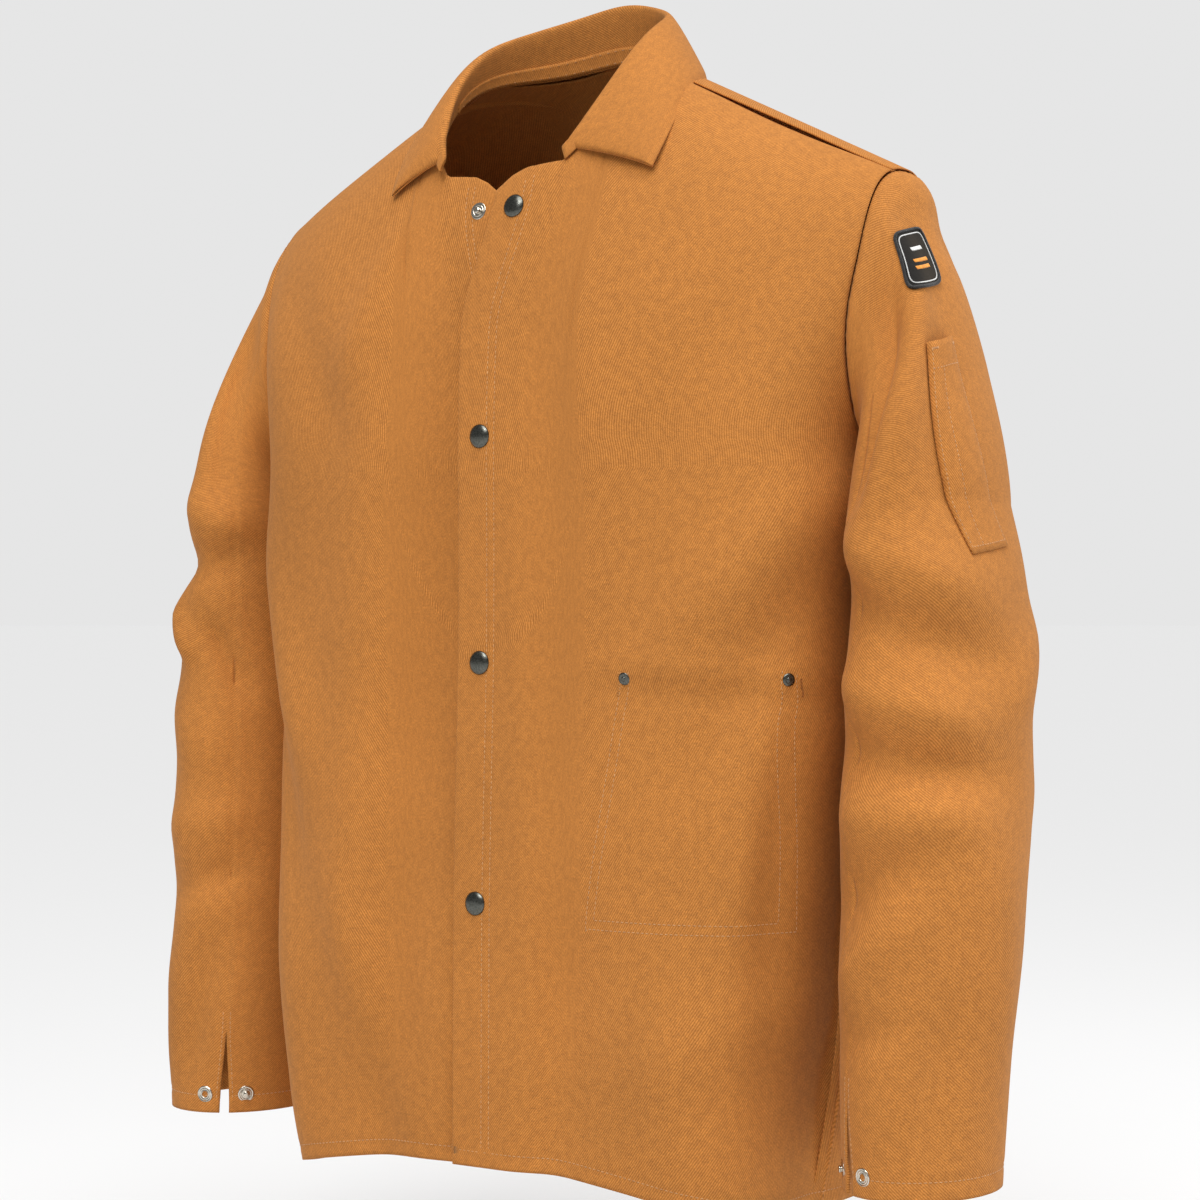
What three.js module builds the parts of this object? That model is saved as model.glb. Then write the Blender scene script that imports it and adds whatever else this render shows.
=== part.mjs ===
// A snap-front welding jacket as it hangs on a body: back, two fronts, turned-down collar, two set-in
// sleeves, an inside pocket, a sleeve pocket, a badge, and every snap and rivet.
// Millimetres, +Z up, the wearer faces -Y and the wearer's left is +X. Shapes are worked out with the hem
// at height 0, and the finished group is lowered so that the origin is at the centre of the neck.
import * as THREE from "three";

// ---- driving sizes
const UNDERARM_Z = 455; // hem to underarm
const SHOULDER_Z = 648; // hem to the end of the shoulder
const NECK_Z = 730; // hem to the neck point of the shoulder
const NECK_X = 72; // half of the neck opening's width
const NAPE_RISE = 32; // how much higher the nape of the neck may stand than its sides
const SHOULDER_X = 243; // half of the width across the shoulders
const HALF_WIDTH = [[0, 187], [50, 198], [110, 208], [245, 219], [373, 224], [UNDERARM_Z, 229]];
const FRONT_DEPTH = [[0, 128], [300, 127], [UNDERARM_Z, 130]];
const BACK_DEPTH = [[0, 112], [200, 112], [UNDERARM_Z, 118]];
const BOXINESS = 4; // 2 is an ellipse, more is squarer
const TOP_BOXINESS = 2.2;
const TOP_SPREAD = 50; // how much wider the body's section is at the shoulders than at the underarm
const SHOULDER_ROUND = 0.83; // power that rounds the shoulder from front to back
const SHOULDER_BACK = 8; // how far the shoulder line lies behind the middle of the hem
const HEM_DROP = 26; // the hem hangs this much lower at the sides and back than in front
const CLOTH = 1; // thickness of one ply, as a stiff stand-in
const SEAM_GAP = 0.3; // clearance between two plies or pieces that meet
const FACET_GAP = 0.8; // added where two faceted plies follow the same curve with different facets

// ---- openings of the pattern: angles run over the shoulder, 0 at the front underarm level, 180 at the back
const FRONT_NECK_DEG = 34;
const SEAM_DEG = 80; // the shoulder seam lies in front of the top of the shoulder
const BACK_NECK_DEG = 108;
const ARMHOLE = [[0, 90], [3, 76], [8, 67], [20, 60], [40, 58], [65, 57], [90, 58]];

// ---- front edges
const LAP = 18; // how far each front runs past the centre
const LEFT_LIFT = 4.2; // the left front lies over the closure
const RIGHT_LIFT = -3.4; // the right front lies under it
const LAP_BLEND = [24, 60]; // the lift fades out between these distances from the centre
const NECK_SPREAD = 18; // the undone top snap lets each front edge fall aside this far
const NECK_SPREAD_Z = [545, 640];
const FACING_WIDTH = 42;
const FOLD_TOP_X = 47; // the line each front folds back about, at the neck and at the hem
const FOLD_HEM_X = 64;
const FOLD_HALF = 15; // half of the width of cloth that bends there

// ---- collar
const COLLAR_END_X = 36; // where the collar stops on each front's neckline
const STAND_HEIGHT = 38;
const STAND_END_HEIGHT = 6;
const LEAF_BACK = 30; // how far the leaf reaches past the neck seam at the back
const LEAF_SIDE = 28; // how far past the neck the leaf reaches on the shoulder
const LEAF_BELLY = 9; // how much wider it is between there and its point
const LEAF_POINT_X = 102.5; // how far out the leaf's points lie, and how much further the left one
const LEAF_POINT_SHIFT = 8;
const LEAF_CLEAR = 4.5; // from the leaf's edge to the body under it

// ---- sleeves: [height, centre x, centre y, half-width, half-depth, tilt in degrees]
const SLEEVE = [
  [425, 269, -10, 40, 83, 12],
  [373, 275, -8, 47, 82, 7],
  [245, 277, -13, 54, 80, 0],
  [84, 277, -30, 50, 66, 0],
  [4, 278, -36, 47, 60, 0],
];
const SLEEVE_SEAM_DEG = 120; // where the sleeve's seam lies, from the outer side towards the front
const ELBOW = [386, 276]; // heights between which the sleeve bends at the elbow
const SLIT_LENGTH = 66;
const SLIT_OPEN = 0.07; // how far each side of the slit stands off the seam, as an angle

// ---- pockets and badge
const POCKET = { bottom: 158, top: 325, innerBottom: 80, innerTop: 106, outerBottom: 204, outerTop: 213 };
const POCKET_GAPE = 13;
// angles round the sleeve, in degrees: at the foot, and how far round the top lies from there; tilt is how much lower the front is
const PEN_POCKET = { bottom: 401, top: 532, back: -9, front: 24, twist: 26, tilt: 6 };
const PEN_GAPE = 11;
const BADGE = { bottom: 566, top: 604, back: 14, front: 64, twist: 0, tilt: 8 };

// ---- snaps, in the order of their layers
const SNAP_HEIGHTS = [628, 477, 329, 172];
const CAP_RADIUS = 7.8;
const CAP_HEIGHT = 3;
const SOCKET_RADIUS = 6.4;
const SOCKET_DEPTH = 3;
const SOCKET_HOLE = 3.5;
const STUD_RADIUS = 2.2;
const STUD_HEIGHT = 2.1;
const STUD_FLANGE = 6;
const FLANGE = 0.7;
const EYELET_RADIUS = 5.4;
const SNAP_SIDES = 10;
const CUFF_SNAP = { height: 13, reach: 15 }; // above the cuff's edge, and along the cloth from the slit
const RIVET_RADIUS = 4.2;

const deg = THREE.MathUtils.degToRad;
const { lerp, clamp, smoothstep } = THREE.MathUtils;
const colours = { cloth: 0xb06a2c, thread: 0xc88a4a, steel: 0xb9b2a4, gunmetal: 0x3b3a36, badge: 0x15140f };
const materials = Object.fromEntries(
  Object.entries(colours).map(([name, color]) => [
    name,
    new THREE.MeshStandardMaterial({
      color,
      roughness: name === "cloth" || name === "badge" ? 0.9 : 0.35,
      metalness: name === "steel" || name === "gunmetal" ? 1 : 0,
    }),
  ]),
);
const jacket = new THREE.Group();
jacket.position.z = -NECK_Z;

// A smooth curve through [place, value] pairs.
function through(keys, at) {
  const t = clamp(at, keys[0][0], keys[keys.length - 1][0]);
  let i = 0;
  while (i < keys.length - 2 && t > keys[i + 1][0]) i++;
  const slope = (k) => {
    const a = keys[Math.max(k - 1, 0)];
    const b = keys[Math.min(k + 1, keys.length - 1)];
    return (b[1] - a[1]) / (b[0] - a[0]);
  };
  const [t0, v0] = keys[i];
  const [t1, v1] = keys[i + 1];
  const w = (t - t0) / (t1 - t0);
  const span = t1 - t0;
  return (
    v0 * (1 + 2 * w) * (1 - w) ** 2 +
    v1 * w * w * (3 - 2 * w) +
    slope(i) * span * w * (1 - w) ** 2 -
    slope(i + 1) * span * w * w * (1 - w)
  );
}

// ---- the body's surface. Height code s: 0 to 1 is hem to underarm in front, 1 to 3 goes over the shoulder,
// and 3 to 4 is underarm to hem at the back. turn is the direction round the body, 0 in front, 90 at the side.
function section(s) {
  const overTop = s > 1 && s < 3;
  const over = overTop ? deg((s - 1) * 90) : 0;
  const z = overTop ? UNDERARM_Z : UNDERARM_Z * (s <= 1 ? s : 4 - s);
  const front = s < 2;
  const rise = Math.sin(over);
  return {
    a: through(HALF_WIDTH, z) + TOP_SPREAD * rise,
    b: through(front ? FRONT_DEPTH : BACK_DEPTH, z) * (front ? -1 : 1) * Math.abs(Math.cos(over)) ** SHOULDER_ROUND,
    p: lerp(BOXINESS, TOP_BOXINESS, rise),
    lift: overTop ? rise ** SHOULDER_ROUND : 0,
    z,
    back: SHOULDER_BACK * smoothstep(overTop ? 1 : z / UNDERARM_Z, 0.3, 1),
  };
}

function shoulderTop(x) {
  return lerp(NECK_Z, SHOULDER_Z, (x - NECK_X) / (SHOULDER_X - NECK_X));
}

function body(turn, s) {
  const c = section(s);
  const sin = Math.abs(Math.sin(turn));
  const cos = Math.max(Math.cos(turn), 0);
  const round = (sin ** c.p + cos ** c.p) ** (1 / c.p);
  const x = (c.a * sin) / round;
  const low = s < 2 ? smoothstep(Math.abs(turn), 0.25, 1.2) * Math.max(1 - s, 0) : Math.max(s - 3, 0);
  const z = c.z + (Math.min(shoulderTop(x), NECK_Z + NAPE_RISE) - UNDERARM_Z) * c.lift - HEM_DROP * low;
  return new THREE.Vector3(x * Math.sign(turn), (c.b * cos) / round + c.back, z);
}

// The turn at which the body's surface is x from the centre.
function turnAt(x, s) {
  const c = section(s);
  const share = clamp(Math.abs(x) / c.a, 0, 0.999999) ** c.p;
  return Math.atan((share / (1 - share)) ** (1 / c.p)) * Math.sign(x);
}

function armholeTurn(s) {
  const over = (s - 1) * 90;
  return deg(through(ARMHOLE, over > 90 ? 180 - over : over));
}

function outerTurn(s) {
  return s <= 1 || s >= 3 ? Math.PI / 2 : armholeTurn(s);
}

function frontNeckline(x) {
  const across = Math.sqrt(Math.max(0, 1 - (x / NECK_X) ** 2));
  return 1 + (SEAM_DEG - (SEAM_DEG - FRONT_NECK_DEG) * across) / 90;
}

function backNeckline(x) {
  const across = Math.sqrt(Math.max(0, 1 - (x / NECK_X) ** 2));
  return 1 + (SEAM_DEG + (BACK_NECK_DEG - SEAM_DEG) * across) / 90;
}

// ---- a ply of cloth: a slab whose middle follows a surface, with its faces half a thickness to each side
function normalAt(surface, u, v) {
  const e = 1e-3;
  const du = surface(Math.min(u + e, 1), v).sub(surface(Math.max(u - e, 0), v));
  const dv = surface(u, Math.min(v + e, 1)).sub(surface(u, Math.max(v - e, 0)));
  return du.cross(dv).normalize();
}

function ply(name, surface, across, along, material = "cloth", thickness = CLOTH) {
  const slab = new THREE.BoxGeometry(1, 1, 1, across, along, 1);
  const place = slab.getAttribute("position");
  for (let i = 0; i < place.count; i++) {
    const u = place.getX(i) + 0.5;
    const v = place.getY(i) + 0.5;
    const p = surface(u, v).addScaledVector(normalAt(surface, u, v), place.getZ(i) * thickness);
    place.setXYZ(i, p.x, p.y, p.z);
  }
  return add(name, slab, material);
}

function add(name, geometry, material, at = jacket) {
  const mesh = new THREE.Mesh(geometry, materials[material]);
  mesh.name = name;
  at.add(mesh);
  return mesh;
}

// The same shape on the other side of the body.
function mirrored(surface) {
  return (u, v) => {
    const p = surface(1 - u, v);
    p.x = -p.x;
    return p;
  };
}

// ---- fronts
function foldX(s) {
  return lerp(FOLD_HEM_X, FOLD_TOP_X, clamp(s / frontNeckline(FOLD_TOP_X), 0, 1));
}

// A point of one front. side is 1 for the left front and -1 for the right, x runs from the centre to that
// side, and inward is the depth of a layer behind the cloth.
function frontPoint(side, x, s, inward = 0) {
  const lapLift = side > 0 ? LEFT_LIFT : RIGHT_LIFT;
  const e = 0.004;
  const turn = turnAt(Math.abs(x) < 1e-6 ? 1e-6 : x, s);
  const p = body(turn, s);
  const across = body(turn + e, s).sub(body(turn - e, s));
  const up = body(turn, s + e).sub(body(turn, s - e));
  const out = across.cross(up).normalize();
  const near = 1 - smoothstep(x, LAP_BLEND[0], LAP_BLEND[1]);
  p.addScaledVector(out, lapLift * near - inward);
  p.x += NECK_SPREAD * smoothstep(p.z, ...NECK_SPREAD_Z) * (1 - smoothstep(x, 20, 100));
  if (side < 0) p.x = -p.x;
  return p;
}

function frontStrip(side, fromX, toX, inward = 0, endTrim = 0) {
  return (u, v) => {
    const w = side > 0 ? u : 1 - u;
    const xAt = (s) => lerp(fromX(s), toX(s), w);
    const top = frontNeckline(xAt(1.4)) - endTrim;
    const s = lerp(0.001, top, v);
    return frontPoint(side, xAt(s), s, inward);
  };
}

function sidePanel(side) {
  return (u, v) => {
    const w = side > 0 ? u : 1 - u;
    const top = 1 + SEAM_DEG / 90 - 0.003;
    const s = lerp(0.001, top, v);
    const neckShare = clamp((1 + (SEAM_DEG / 90) - s) * 90 / (SEAM_DEG - FRONT_NECK_DEG), 0, 1);
    const neckX = s > 1 + FRONT_NECK_DEG / 90 ? NECK_X * Math.sqrt(1 - neckShare ** 2) : 0;
    const inner = Math.max(foldX(s) + FOLD_HALF + FACET_GAP, neckX + SEAM_GAP);
    const turn = lerp(turnAt(inner, s), outerTurn(s) - deg(0.15), w);
    const p = body(turn, s);
    return frontPoint(side, p.x, s);
  };
}

// ---- back
function backPanel(u, v) {
  const w = 1 - 2 * u;
  const crown = Math.abs(body(w * outerTurn(2), 2).x);
  const top = (crown < NECK_X ? backNeckline(crown) : 1 + SEAM_DEG / 90) + 0.003;
  const s = lerp(3.999, top, v);
  const turn = w * (outerTurn(s) - deg(0.15));
  return body(Math.abs(turn) < 1e-6 ? 1e-6 : turn, s);
}

// ---- collar: round goes from 0 at one front end to 1 at the other, through the back of the neck
function neckPoint(round) {
  const endTurn = Math.asin(COLLAR_END_X / NECK_X);
  const t = lerp(endTurn, Math.PI, 1 - Math.abs(2 * round - 1));
  const side = round < 0.5 ? -1 : 1;
  const x = NECK_X * Math.sin(t);
  const s = 1 + (SEAM_DEG - (t < Math.PI / 2 ? SEAM_DEG - FRONT_NECK_DEG : BACK_NECK_DEG - SEAM_DEG) * Math.cos(t)) / 90;
  const p = t < Math.PI / 2 ? frontPoint(1, x, s) : body(turnAt(Math.max(x, 1e-6), s), s);
  p.x = Math.abs(p.x) * side;
  return { p, t, x, s, side };
}

function backShare(t) {
  return smoothstep(t, Math.asin(COLLAR_END_X / NECK_X), Math.PI);
}

function rollPoint(round) {
  const { p, t } = neckPoint(round);
  const height = lerp(STAND_END_HEIGHT, STAND_HEIGHT, backShare(t) ** 0.5);
  const inward = new THREE.Vector3(-p.x, -(p.y + 15), 0).normalize();
  return p.clone().addScaledVector(inward, 1.5 + height * 0.1).add(new THREE.Vector3(0, 0, height + 1.5));
}

function leafEdge(round) {
  const { t, side } = neckPoint(round);
  const share = backShare(t);
  const shoulder = NECK_X + LEAF_SIDE;
  const forward = smoothstep(share, 0, 0.36);
  const x = t < Math.PI / 2
    ? lerp(LEAF_POINT_X + LEAF_POINT_SHIFT * side, shoulder, forward) + LEAF_BELLY * Math.sin(Math.PI * forward)
    : NECK_X * Math.sin(t) + LEAF_SIDE * Math.sin(t) ** 14;
  const frontDeg = lerp(43.2 + 1.6 * side, SEAM_DEG, smoothstep(share, 0, 0.42));
  const s = 1 + (t < Math.PI / 2 ? frontDeg : SEAM_DEG + (BACK_NECK_DEG + LEAF_BACK * 0.7 - SEAM_DEG) * -Math.cos(t)) / 90;
  const turn = turnAt(Math.max(x, 1e-6), s);
  const e = 0.004;
  const p = body(turn, s);
  const out = body(turn + e, s).sub(body(turn - e, s)).cross(body(turn, s + e).sub(body(turn, s - e))).normalize();
  p.addScaledVector(out, LEAF_CLEAR + CLOTH);
  p.x *= side;
  return p;
}

function collarStand(round, v) {
  const foot = neckPoint(round).p.add(new THREE.Vector3(0, 0, CLOTH + SEAM_GAP + FACET_GAP));
  return foot.lerp(rollPoint(round), v);
}

function collarLeaf(round, v) {
  const { t } = neckPoint(round);
  const roll = rollPoint(round).add(new THREE.Vector3(0, 0, CLOTH / 2 + SEAM_GAP + FACET_GAP));
  const edge = leafEdge(round);
  const outward = edge.clone().sub(roll).setZ(0).normalize();
  const over = roll.clone().addScaledVector(outward, lerp(10, 16, backShare(t))).add(new THREE.Vector3(0, 0, 4));
  const curve = new THREE.QuadraticBezierCurve3(roll.addScaledVector(outward, 1.5), over, edge);
  return curve.getPoint(v);
}

// ---- sleeves. round is the angle from the outer side of the sleeve towards the front.
function armhole(round) {
  const wrapped = Math.atan2(Math.sin(round), Math.cos(round));
  const s = clamp(2 - wrapped / Math.PI, 1.0001, 2.9999);
  return body(armholeTurn(s), s);
}

function sleeveRing(height, round) {
  const at = (i) => through(SLEEVE.map((k) => [k[0], k[i]]).reverse(), height);
  const tilt = deg(at(5));
  const out = at(3) * Math.cos(round);
  return new THREE.Vector3(at(1) + out * Math.cos(tilt), at(2) - at(4) * Math.sin(round), height + out * Math.sin(tilt));
}

function sleevePoint(round, down) {
  const join = armhole(round);
  const first = sleeveRing(SLEEVE[0][0], round);
  const outer = 0.5 + 0.5 * Math.cos(round);
  const away = new THREE.Vector3(lerp(0.5, 0.55, outer), 0, lerp(-0.87, -0.83, outer));
  const start = join.clone().addScaledVector(away, 3.2);
  if (down >= 1) return sleeveRing(lerp(SLEEVE[0][0], SLEEVE.at(-1)[0], down - 1), round);
  const reach = start.distanceTo(first) * 0.42;
  const curve = new THREE.CubicBezierCurve3(
    start,
    start.clone().addScaledVector(away, reach),
    first.clone().add(new THREE.Vector3(0, 0, reach)),
    first,
  );
  return curve.getPoint(down);
}

// How far down the sleeve a height lies, for heights below the first ring.
function downAt(height) {
  return 1 + (SLEEVE[0][0] - height) / (SLEEVE[0][0] - SLEEVE.at(-1)[0]);
}

function sleeveTube(from, to, lift = 0) {
  const seam = deg(SLEEVE_SEAM_DEG);
  return (u, v) => {
    const down = lerp(to, from, v);
    const gap = 0.004 + SLIT_OPEN * smoothstep(down, downAt(SLEEVE.at(-1)[0] + SLIT_LENGTH), 2);
    const round = seam - gap - (1 - u) * (2 * Math.PI - 2 * gap);
    const p = sleevePoint(round, down);
    if (!lift) return p;
    const e = 0.01;
    const n = sleevePoint(round - e, down).sub(sleevePoint(round + e, down));
    return p.addScaledVector(n.cross(sleevePoint(round, down - e).sub(sleevePoint(round, down + e))).normalize(), lift);
  };
}

function outOf(surface, u, v, lift) {
  return surface(u, v).addScaledVector(normalAt(surface, u, v), lift);
}

// ---- round metal pieces: a lathe stood on the cloth at a place, facing along its outward direction
function turned(name, profile, place, out, material) {
  const points = profile.map(([r, h]) => new THREE.Vector2(r, h));
  const lathe = new THREE.LatheGeometry(points, SNAP_SIDES);
  const mesh = add(name, lathe, material);
  mesh.position.copy(place);
  mesh.quaternion.setFromUnitVectors(new THREE.Vector3(0, 1, 0), out);
  return mesh;
}

const capProfile = [[0, 0], [CAP_RADIUS, 0], [CAP_RADIUS, 0.9], [CAP_RADIUS * 0.72, CAP_HEIGHT * 0.8], [0, CAP_HEIGHT]];
const socketProfile = [
  [0, SOCKET_DEPTH - FLANGE],
  [SOCKET_HOLE, SOCKET_DEPTH - FLANGE],
  [SOCKET_HOLE, 0],
  [SOCKET_RADIUS * 0.8, 0],
  [SOCKET_RADIUS, 1.1],
  [SOCKET_RADIUS, SOCKET_DEPTH],
  [0, SOCKET_DEPTH],
];
const studProfile = [
  [0, 0],
  [STUD_FLANGE, 0],
  [STUD_FLANGE, FLANGE],
  [STUD_RADIUS * 1.1, FLANGE],
  [STUD_RADIUS, FLANGE + STUD_HEIGHT * 0.6],
  [STUD_RADIUS * 0.55, FLANGE + STUD_HEIGHT],
  [0, FLANGE + STUD_HEIGHT],
];
const eyeletProfile = [[0, 0], [EYELET_RADIUS, 0], [EYELET_RADIUS * 0.85, FLANGE], [0, FLANGE]];

// ================= the jacket
ply("back_panel", backPanel, 22, 16);

for (const side of [1, -1]) {
  const word = side > 0 ? "left" : "right";
  ply(`${word}_front_panel`, sidePanel(side), 16, 16);
  const inner = (s) => foldX(s) - FOLD_HALF;
  ply(`${word}_front_fold`, frontStrip(side, (s) => inner(s) + SEAM_GAP, (s) => foldX(s) + FOLD_HALF), 3, 16);
  ply(`${word}_front_edge`, frontStrip(side, () => -LAP, inner), 4, 16);
  const facing = frontStrip(side, () => -LAP + 1, () => FACING_WIDTH - LAP, CLOTH + SEAM_GAP + 0.2, 0.006);
  ply(`${word}_front_facing`, facing, 3, 16);

  const tube = (from, to) => {
    const made = sleeveTube(from, to);
    return side > 0 ? made : mirrored(made);
  };
  ply(`${word}_sleeve_upper`, tube(0, downAt(ELBOW[0])), 20, 7);
  ply(`${word}_sleeve_elbow`, tube(downAt(ELBOW[0]) + 0.001, downAt(ELBOW[1]) - 0.001), 20, 2);
  ply(`${word}_sleeve_lower`, tube(downAt(ELBOW[1]), 2), 20, 5);
}

ply("collar_stand", (u, v) => collarStand(u, v), 26, 2);
ply("collar_leaf", (u, v) => collarLeaf(1 - u, v), 26, 4);
const binding = (u, v) => {
  const along = lerp(0.24, 0.76, u);
  return outOf(collarStand, along, lerp(0.08, 0.36, v), CLOTH + FACET_GAP);
};
ply("neck_binding", binding, 16, 1);

// inside pocket, held along three edges and open at the top
const pocketBag = (inward, depth = POCKET_GAPE) => (u, v) => {
  const s = lerp(POCKET.bottom, POCKET.top, v) / UNDERARM_Z;
  const inner = turnAt(lerp(POCKET.innerBottom, POCKET.innerTop, v), s);
  const outer = turnAt(lerp(POCKET.outerBottom, POCKET.outerTop, v), s);
  const gape = depth * Math.sin(Math.PI * u) ** 2 * smoothstep(v, 0.05, 0.6);
  return frontPoint(1, body(lerp(inner, outer, u), s).x, s, inward + gape);
};
ply("inside_pocket", pocketBag(CLOTH + 2 * FACET_GAP), 12, 8);
for (const [word, u] of [["inner", 0.045], ["outer", 0.955]]) {
  const flat = pocketBag(0, 0);
  const out = normalAt(flat, u, 0.97);
  const at = frontPoint(1, flat(u, 0.97).x, lerp(POCKET.bottom, POCKET.top, 0.97) / UNDERARM_Z);
  const face = CLOTH / 2 + SEAM_GAP + 0.3;
  const rivet = [[0, 0], [RIVET_RADIUS, 0], [RIVET_RADIUS * 0.8, 1.1], [0, 1.5]];
  turned(`pocket_rivet_${word}`, rivet, at.clone().addScaledVector(out, face), out, "gunmetal");
  const inside = pocketBag(CLOTH + 2 * FACET_GAP + face + 0.4)(u, 0.97);
  turned(`pocket_burr_${word}`, rivet, inside, out.clone().negate(), "gunmetal");
}

// left sleeve: pen pocket and badge
function sleevePatch(area, lift, gape) {
  return (u, v) => {
    const round = deg(lerp(area.back, area.front, u) + area.twist * v);
    const z = lerp(area.bottom, area.top, v) - area.tilt * (u - 0.5);
    let [high, low] = [0, 1.5];
    for (let i = 0; i < 30; i++) {
      const mid = (high + low) / 2;
      if (sleevePoint(round, mid).z > z) high = mid;
      else low = mid;
    }
    const e = 0.01;
    const n = sleevePoint(round - e, high).sub(sleevePoint(round + e, high));
    n.cross(sleevePoint(round, high - e).sub(sleevePoint(round, high + e))).normalize();
    const bulge = gape * Math.sin(Math.PI * u) * smoothstep(v, 0.02, 0.5);
    const p = sleevePoint(round, high);
    return p.addScaledVector(n, n.x > 0 ? lift + bulge : -lift - bulge);
  };
}
ply("pen_pocket", (u, v) => sleevePatch(PEN_POCKET, CLOTH + 3 * FACET_GAP, PEN_GAPE)(1 - u, v), 8, 6);
ply("badge", (u, v) => sleevePatch(BADGE, CLOTH + FACET_GAP, 0)(1 - u, v), 5, 3, "badge", 1.2);

// front snaps
function frontAt(side, x, z) {
  let [low, high] = [0.01, frontNeckline(Math.abs(x))];
  for (let i = 0; i < 40; i++) {
    const mid = (low + high) / 2;
    if (frontPoint(side, x, mid).z < z) low = mid;
    else high = mid;
  }
  const e = 0.01;
  const across = frontPoint(side, x + 2, low).sub(frontPoint(side, x - 2, low)).multiplyScalar(side);
  const up = frontPoint(side, x, low + e).sub(frontPoint(side, x, low - e));
  return { s: low, out: across.cross(up).normalize() };
}

const outerFace = CLOTH / 2 + SEAM_GAP + 0.1;
const innerFace = CLOTH * 1.5 + SEAM_GAP * 2 + 0.5;
SNAP_HEIGHTS.forEach((z, i) => {
  const n = i + 1;
  const left = frontAt(1, 0.01, z);
  const onLeft = (inward) => frontPoint(1, 0.01, left.s).addScaledVector(left.out, -inward);
  turned(`snap_${n}_cap`, capProfile, onLeft(-outerFace), left.out, "gunmetal");
  turned(`snap_${n}_socket`, socketProfile, onLeft(innerFace + SOCKET_DEPTH), left.out, "steel");
  const right = frontAt(-1, 0.01, z);
  const onRight = (inward) => frontPoint(-1, 0.01, right.s).addScaledVector(right.out, -inward);
  turned(`snap_${n}_stud`, studProfile, onRight(-outerFace), right.out, "steel");
  turned(`snap_${n}_eyelet`, eyeletProfile, onRight(innerFace), right.out.clone().negate(), "steel");
});

// cuff snaps, one half on each side of the slit
const ringProfile = [[3.4, 0], [EYELET_RADIUS + 0.4, 0], [EYELET_RADIUS, FLANGE], [3.8, FLANGE], [3.4, 0]];
for (const side of [1, -1]) {
  const word = side > 0 ? "left" : "right";
  const down = downAt(SLEEVE.at(-1)[0] + CUFF_SNAP.height);
  const place = (towards) => {
    const round = deg(SLEEVE_SEAM_DEG) + (towards * CUFF_SNAP.reach) / 52;
    const e = 0.02;
    const out = sleevePoint(round - e, down).sub(sleevePoint(round + e, down));
    out.cross(sleevePoint(round, down - e).sub(sleevePoint(round, down + e))).normalize();
    const centre = sleeveRing(SLEEVE.at(-1)[0] + CUFF_SNAP.height, 0).setX(SLEEVE.at(-1)[1]);
    const at = sleevePoint(round, down);
    if (out.dot(at.clone().sub(centre)) < 0) out.negate();
    at.x *= side;
    out.x *= side;
    return { at, out };
  };
  const lift = outerFace + 0.15;
  const under = outerFace + FACET_GAP + 0.5;
  const a = place(-1);
  const b = place(1);
  turned(`${word}_cuff_ring`, ringProfile, a.at.clone().addScaledVector(a.out, lift), a.out, "steel");
  turned(`${word}_cuff_socket`, socketProfile, a.at.clone().addScaledVector(a.out, -under - SOCKET_DEPTH), a.out, "steel");
  turned(`${word}_cuff_stud`, studProfile, b.at.clone().addScaledVector(b.out, lift), b.out, "steel");
  turned(`${word}_cuff_eyelet`, eyeletProfile, b.at.clone().addScaledVector(b.out, -under), b.out.clone().negate(), "steel");
}

export default jacket;
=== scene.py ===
"""The looks of a snap-front welding jacket of cotton twill, built round its CAD frame.

Lengths in the shape functions are millimetres above and about the middle of the hem; row() turns them into the
frame's metres, whose origin is in the middle of the neck.
"""
import math

import bmesh
import bpy
import numpy as np
from mathutils import Matrix, Vector


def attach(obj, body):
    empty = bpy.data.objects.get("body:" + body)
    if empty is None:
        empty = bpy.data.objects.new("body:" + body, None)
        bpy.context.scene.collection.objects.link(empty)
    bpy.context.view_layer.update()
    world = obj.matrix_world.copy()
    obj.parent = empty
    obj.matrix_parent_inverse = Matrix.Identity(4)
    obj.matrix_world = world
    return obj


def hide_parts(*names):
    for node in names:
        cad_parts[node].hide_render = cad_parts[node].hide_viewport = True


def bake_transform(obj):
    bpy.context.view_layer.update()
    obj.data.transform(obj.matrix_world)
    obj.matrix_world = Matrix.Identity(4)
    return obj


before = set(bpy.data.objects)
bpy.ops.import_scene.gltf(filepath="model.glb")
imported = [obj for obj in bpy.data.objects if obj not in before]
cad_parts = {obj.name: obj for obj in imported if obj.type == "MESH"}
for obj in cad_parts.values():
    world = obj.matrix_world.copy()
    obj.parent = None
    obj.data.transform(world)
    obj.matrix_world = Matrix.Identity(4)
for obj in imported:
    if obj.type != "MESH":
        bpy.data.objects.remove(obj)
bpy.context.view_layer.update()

# ---- the jacket's driving sizes
UNDERARM_Z = 455.0
SHOULDER_Z = 648.0
NECK_Z = 730.0
NAPE_RISE = 32.0
NECK_X = 72.0
SHOULDER_X = 243.0
HALF_WIDTH = [(0, 187), (50, 198), (110, 208), (245, 219), (373, 224), (455, 229)]
FRONT_DEPTH = [(0, 128), (300, 127), (455, 130)]
BACK_DEPTH = [(0, 112), (200, 112), (455, 118)]
BOXINESS, TOP_BOXINESS, TOP_SPREAD = 4.0, 2.2, 50.0
SHOULDER_ROUND, SHOULDER_BACK, HEM_DROP = 0.83, 8.0, 26.0
FRONT_NECK_DEG, SEAM_DEG, BACK_NECK_DEG = 34.0, 80.0, 108.0
SEAM_S = 1 + SEAM_DEG / 90  # the shoulder seam
ARMHOLE = [(0, 90), (3, 76), (8, 67), (20, 60), (40, 58), (65, 57), (90, 58)]
LAP = 18.0
LEFT_LIFT, RIGHT_LIFT = 4.2, -3.4
NECK_SPREAD, NECK_SPREAD_Z = 18.0, (545.0, 640.0)
FLAT_FRONT = 85.0  # the front's columns run straight down for this far from its edge
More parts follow.
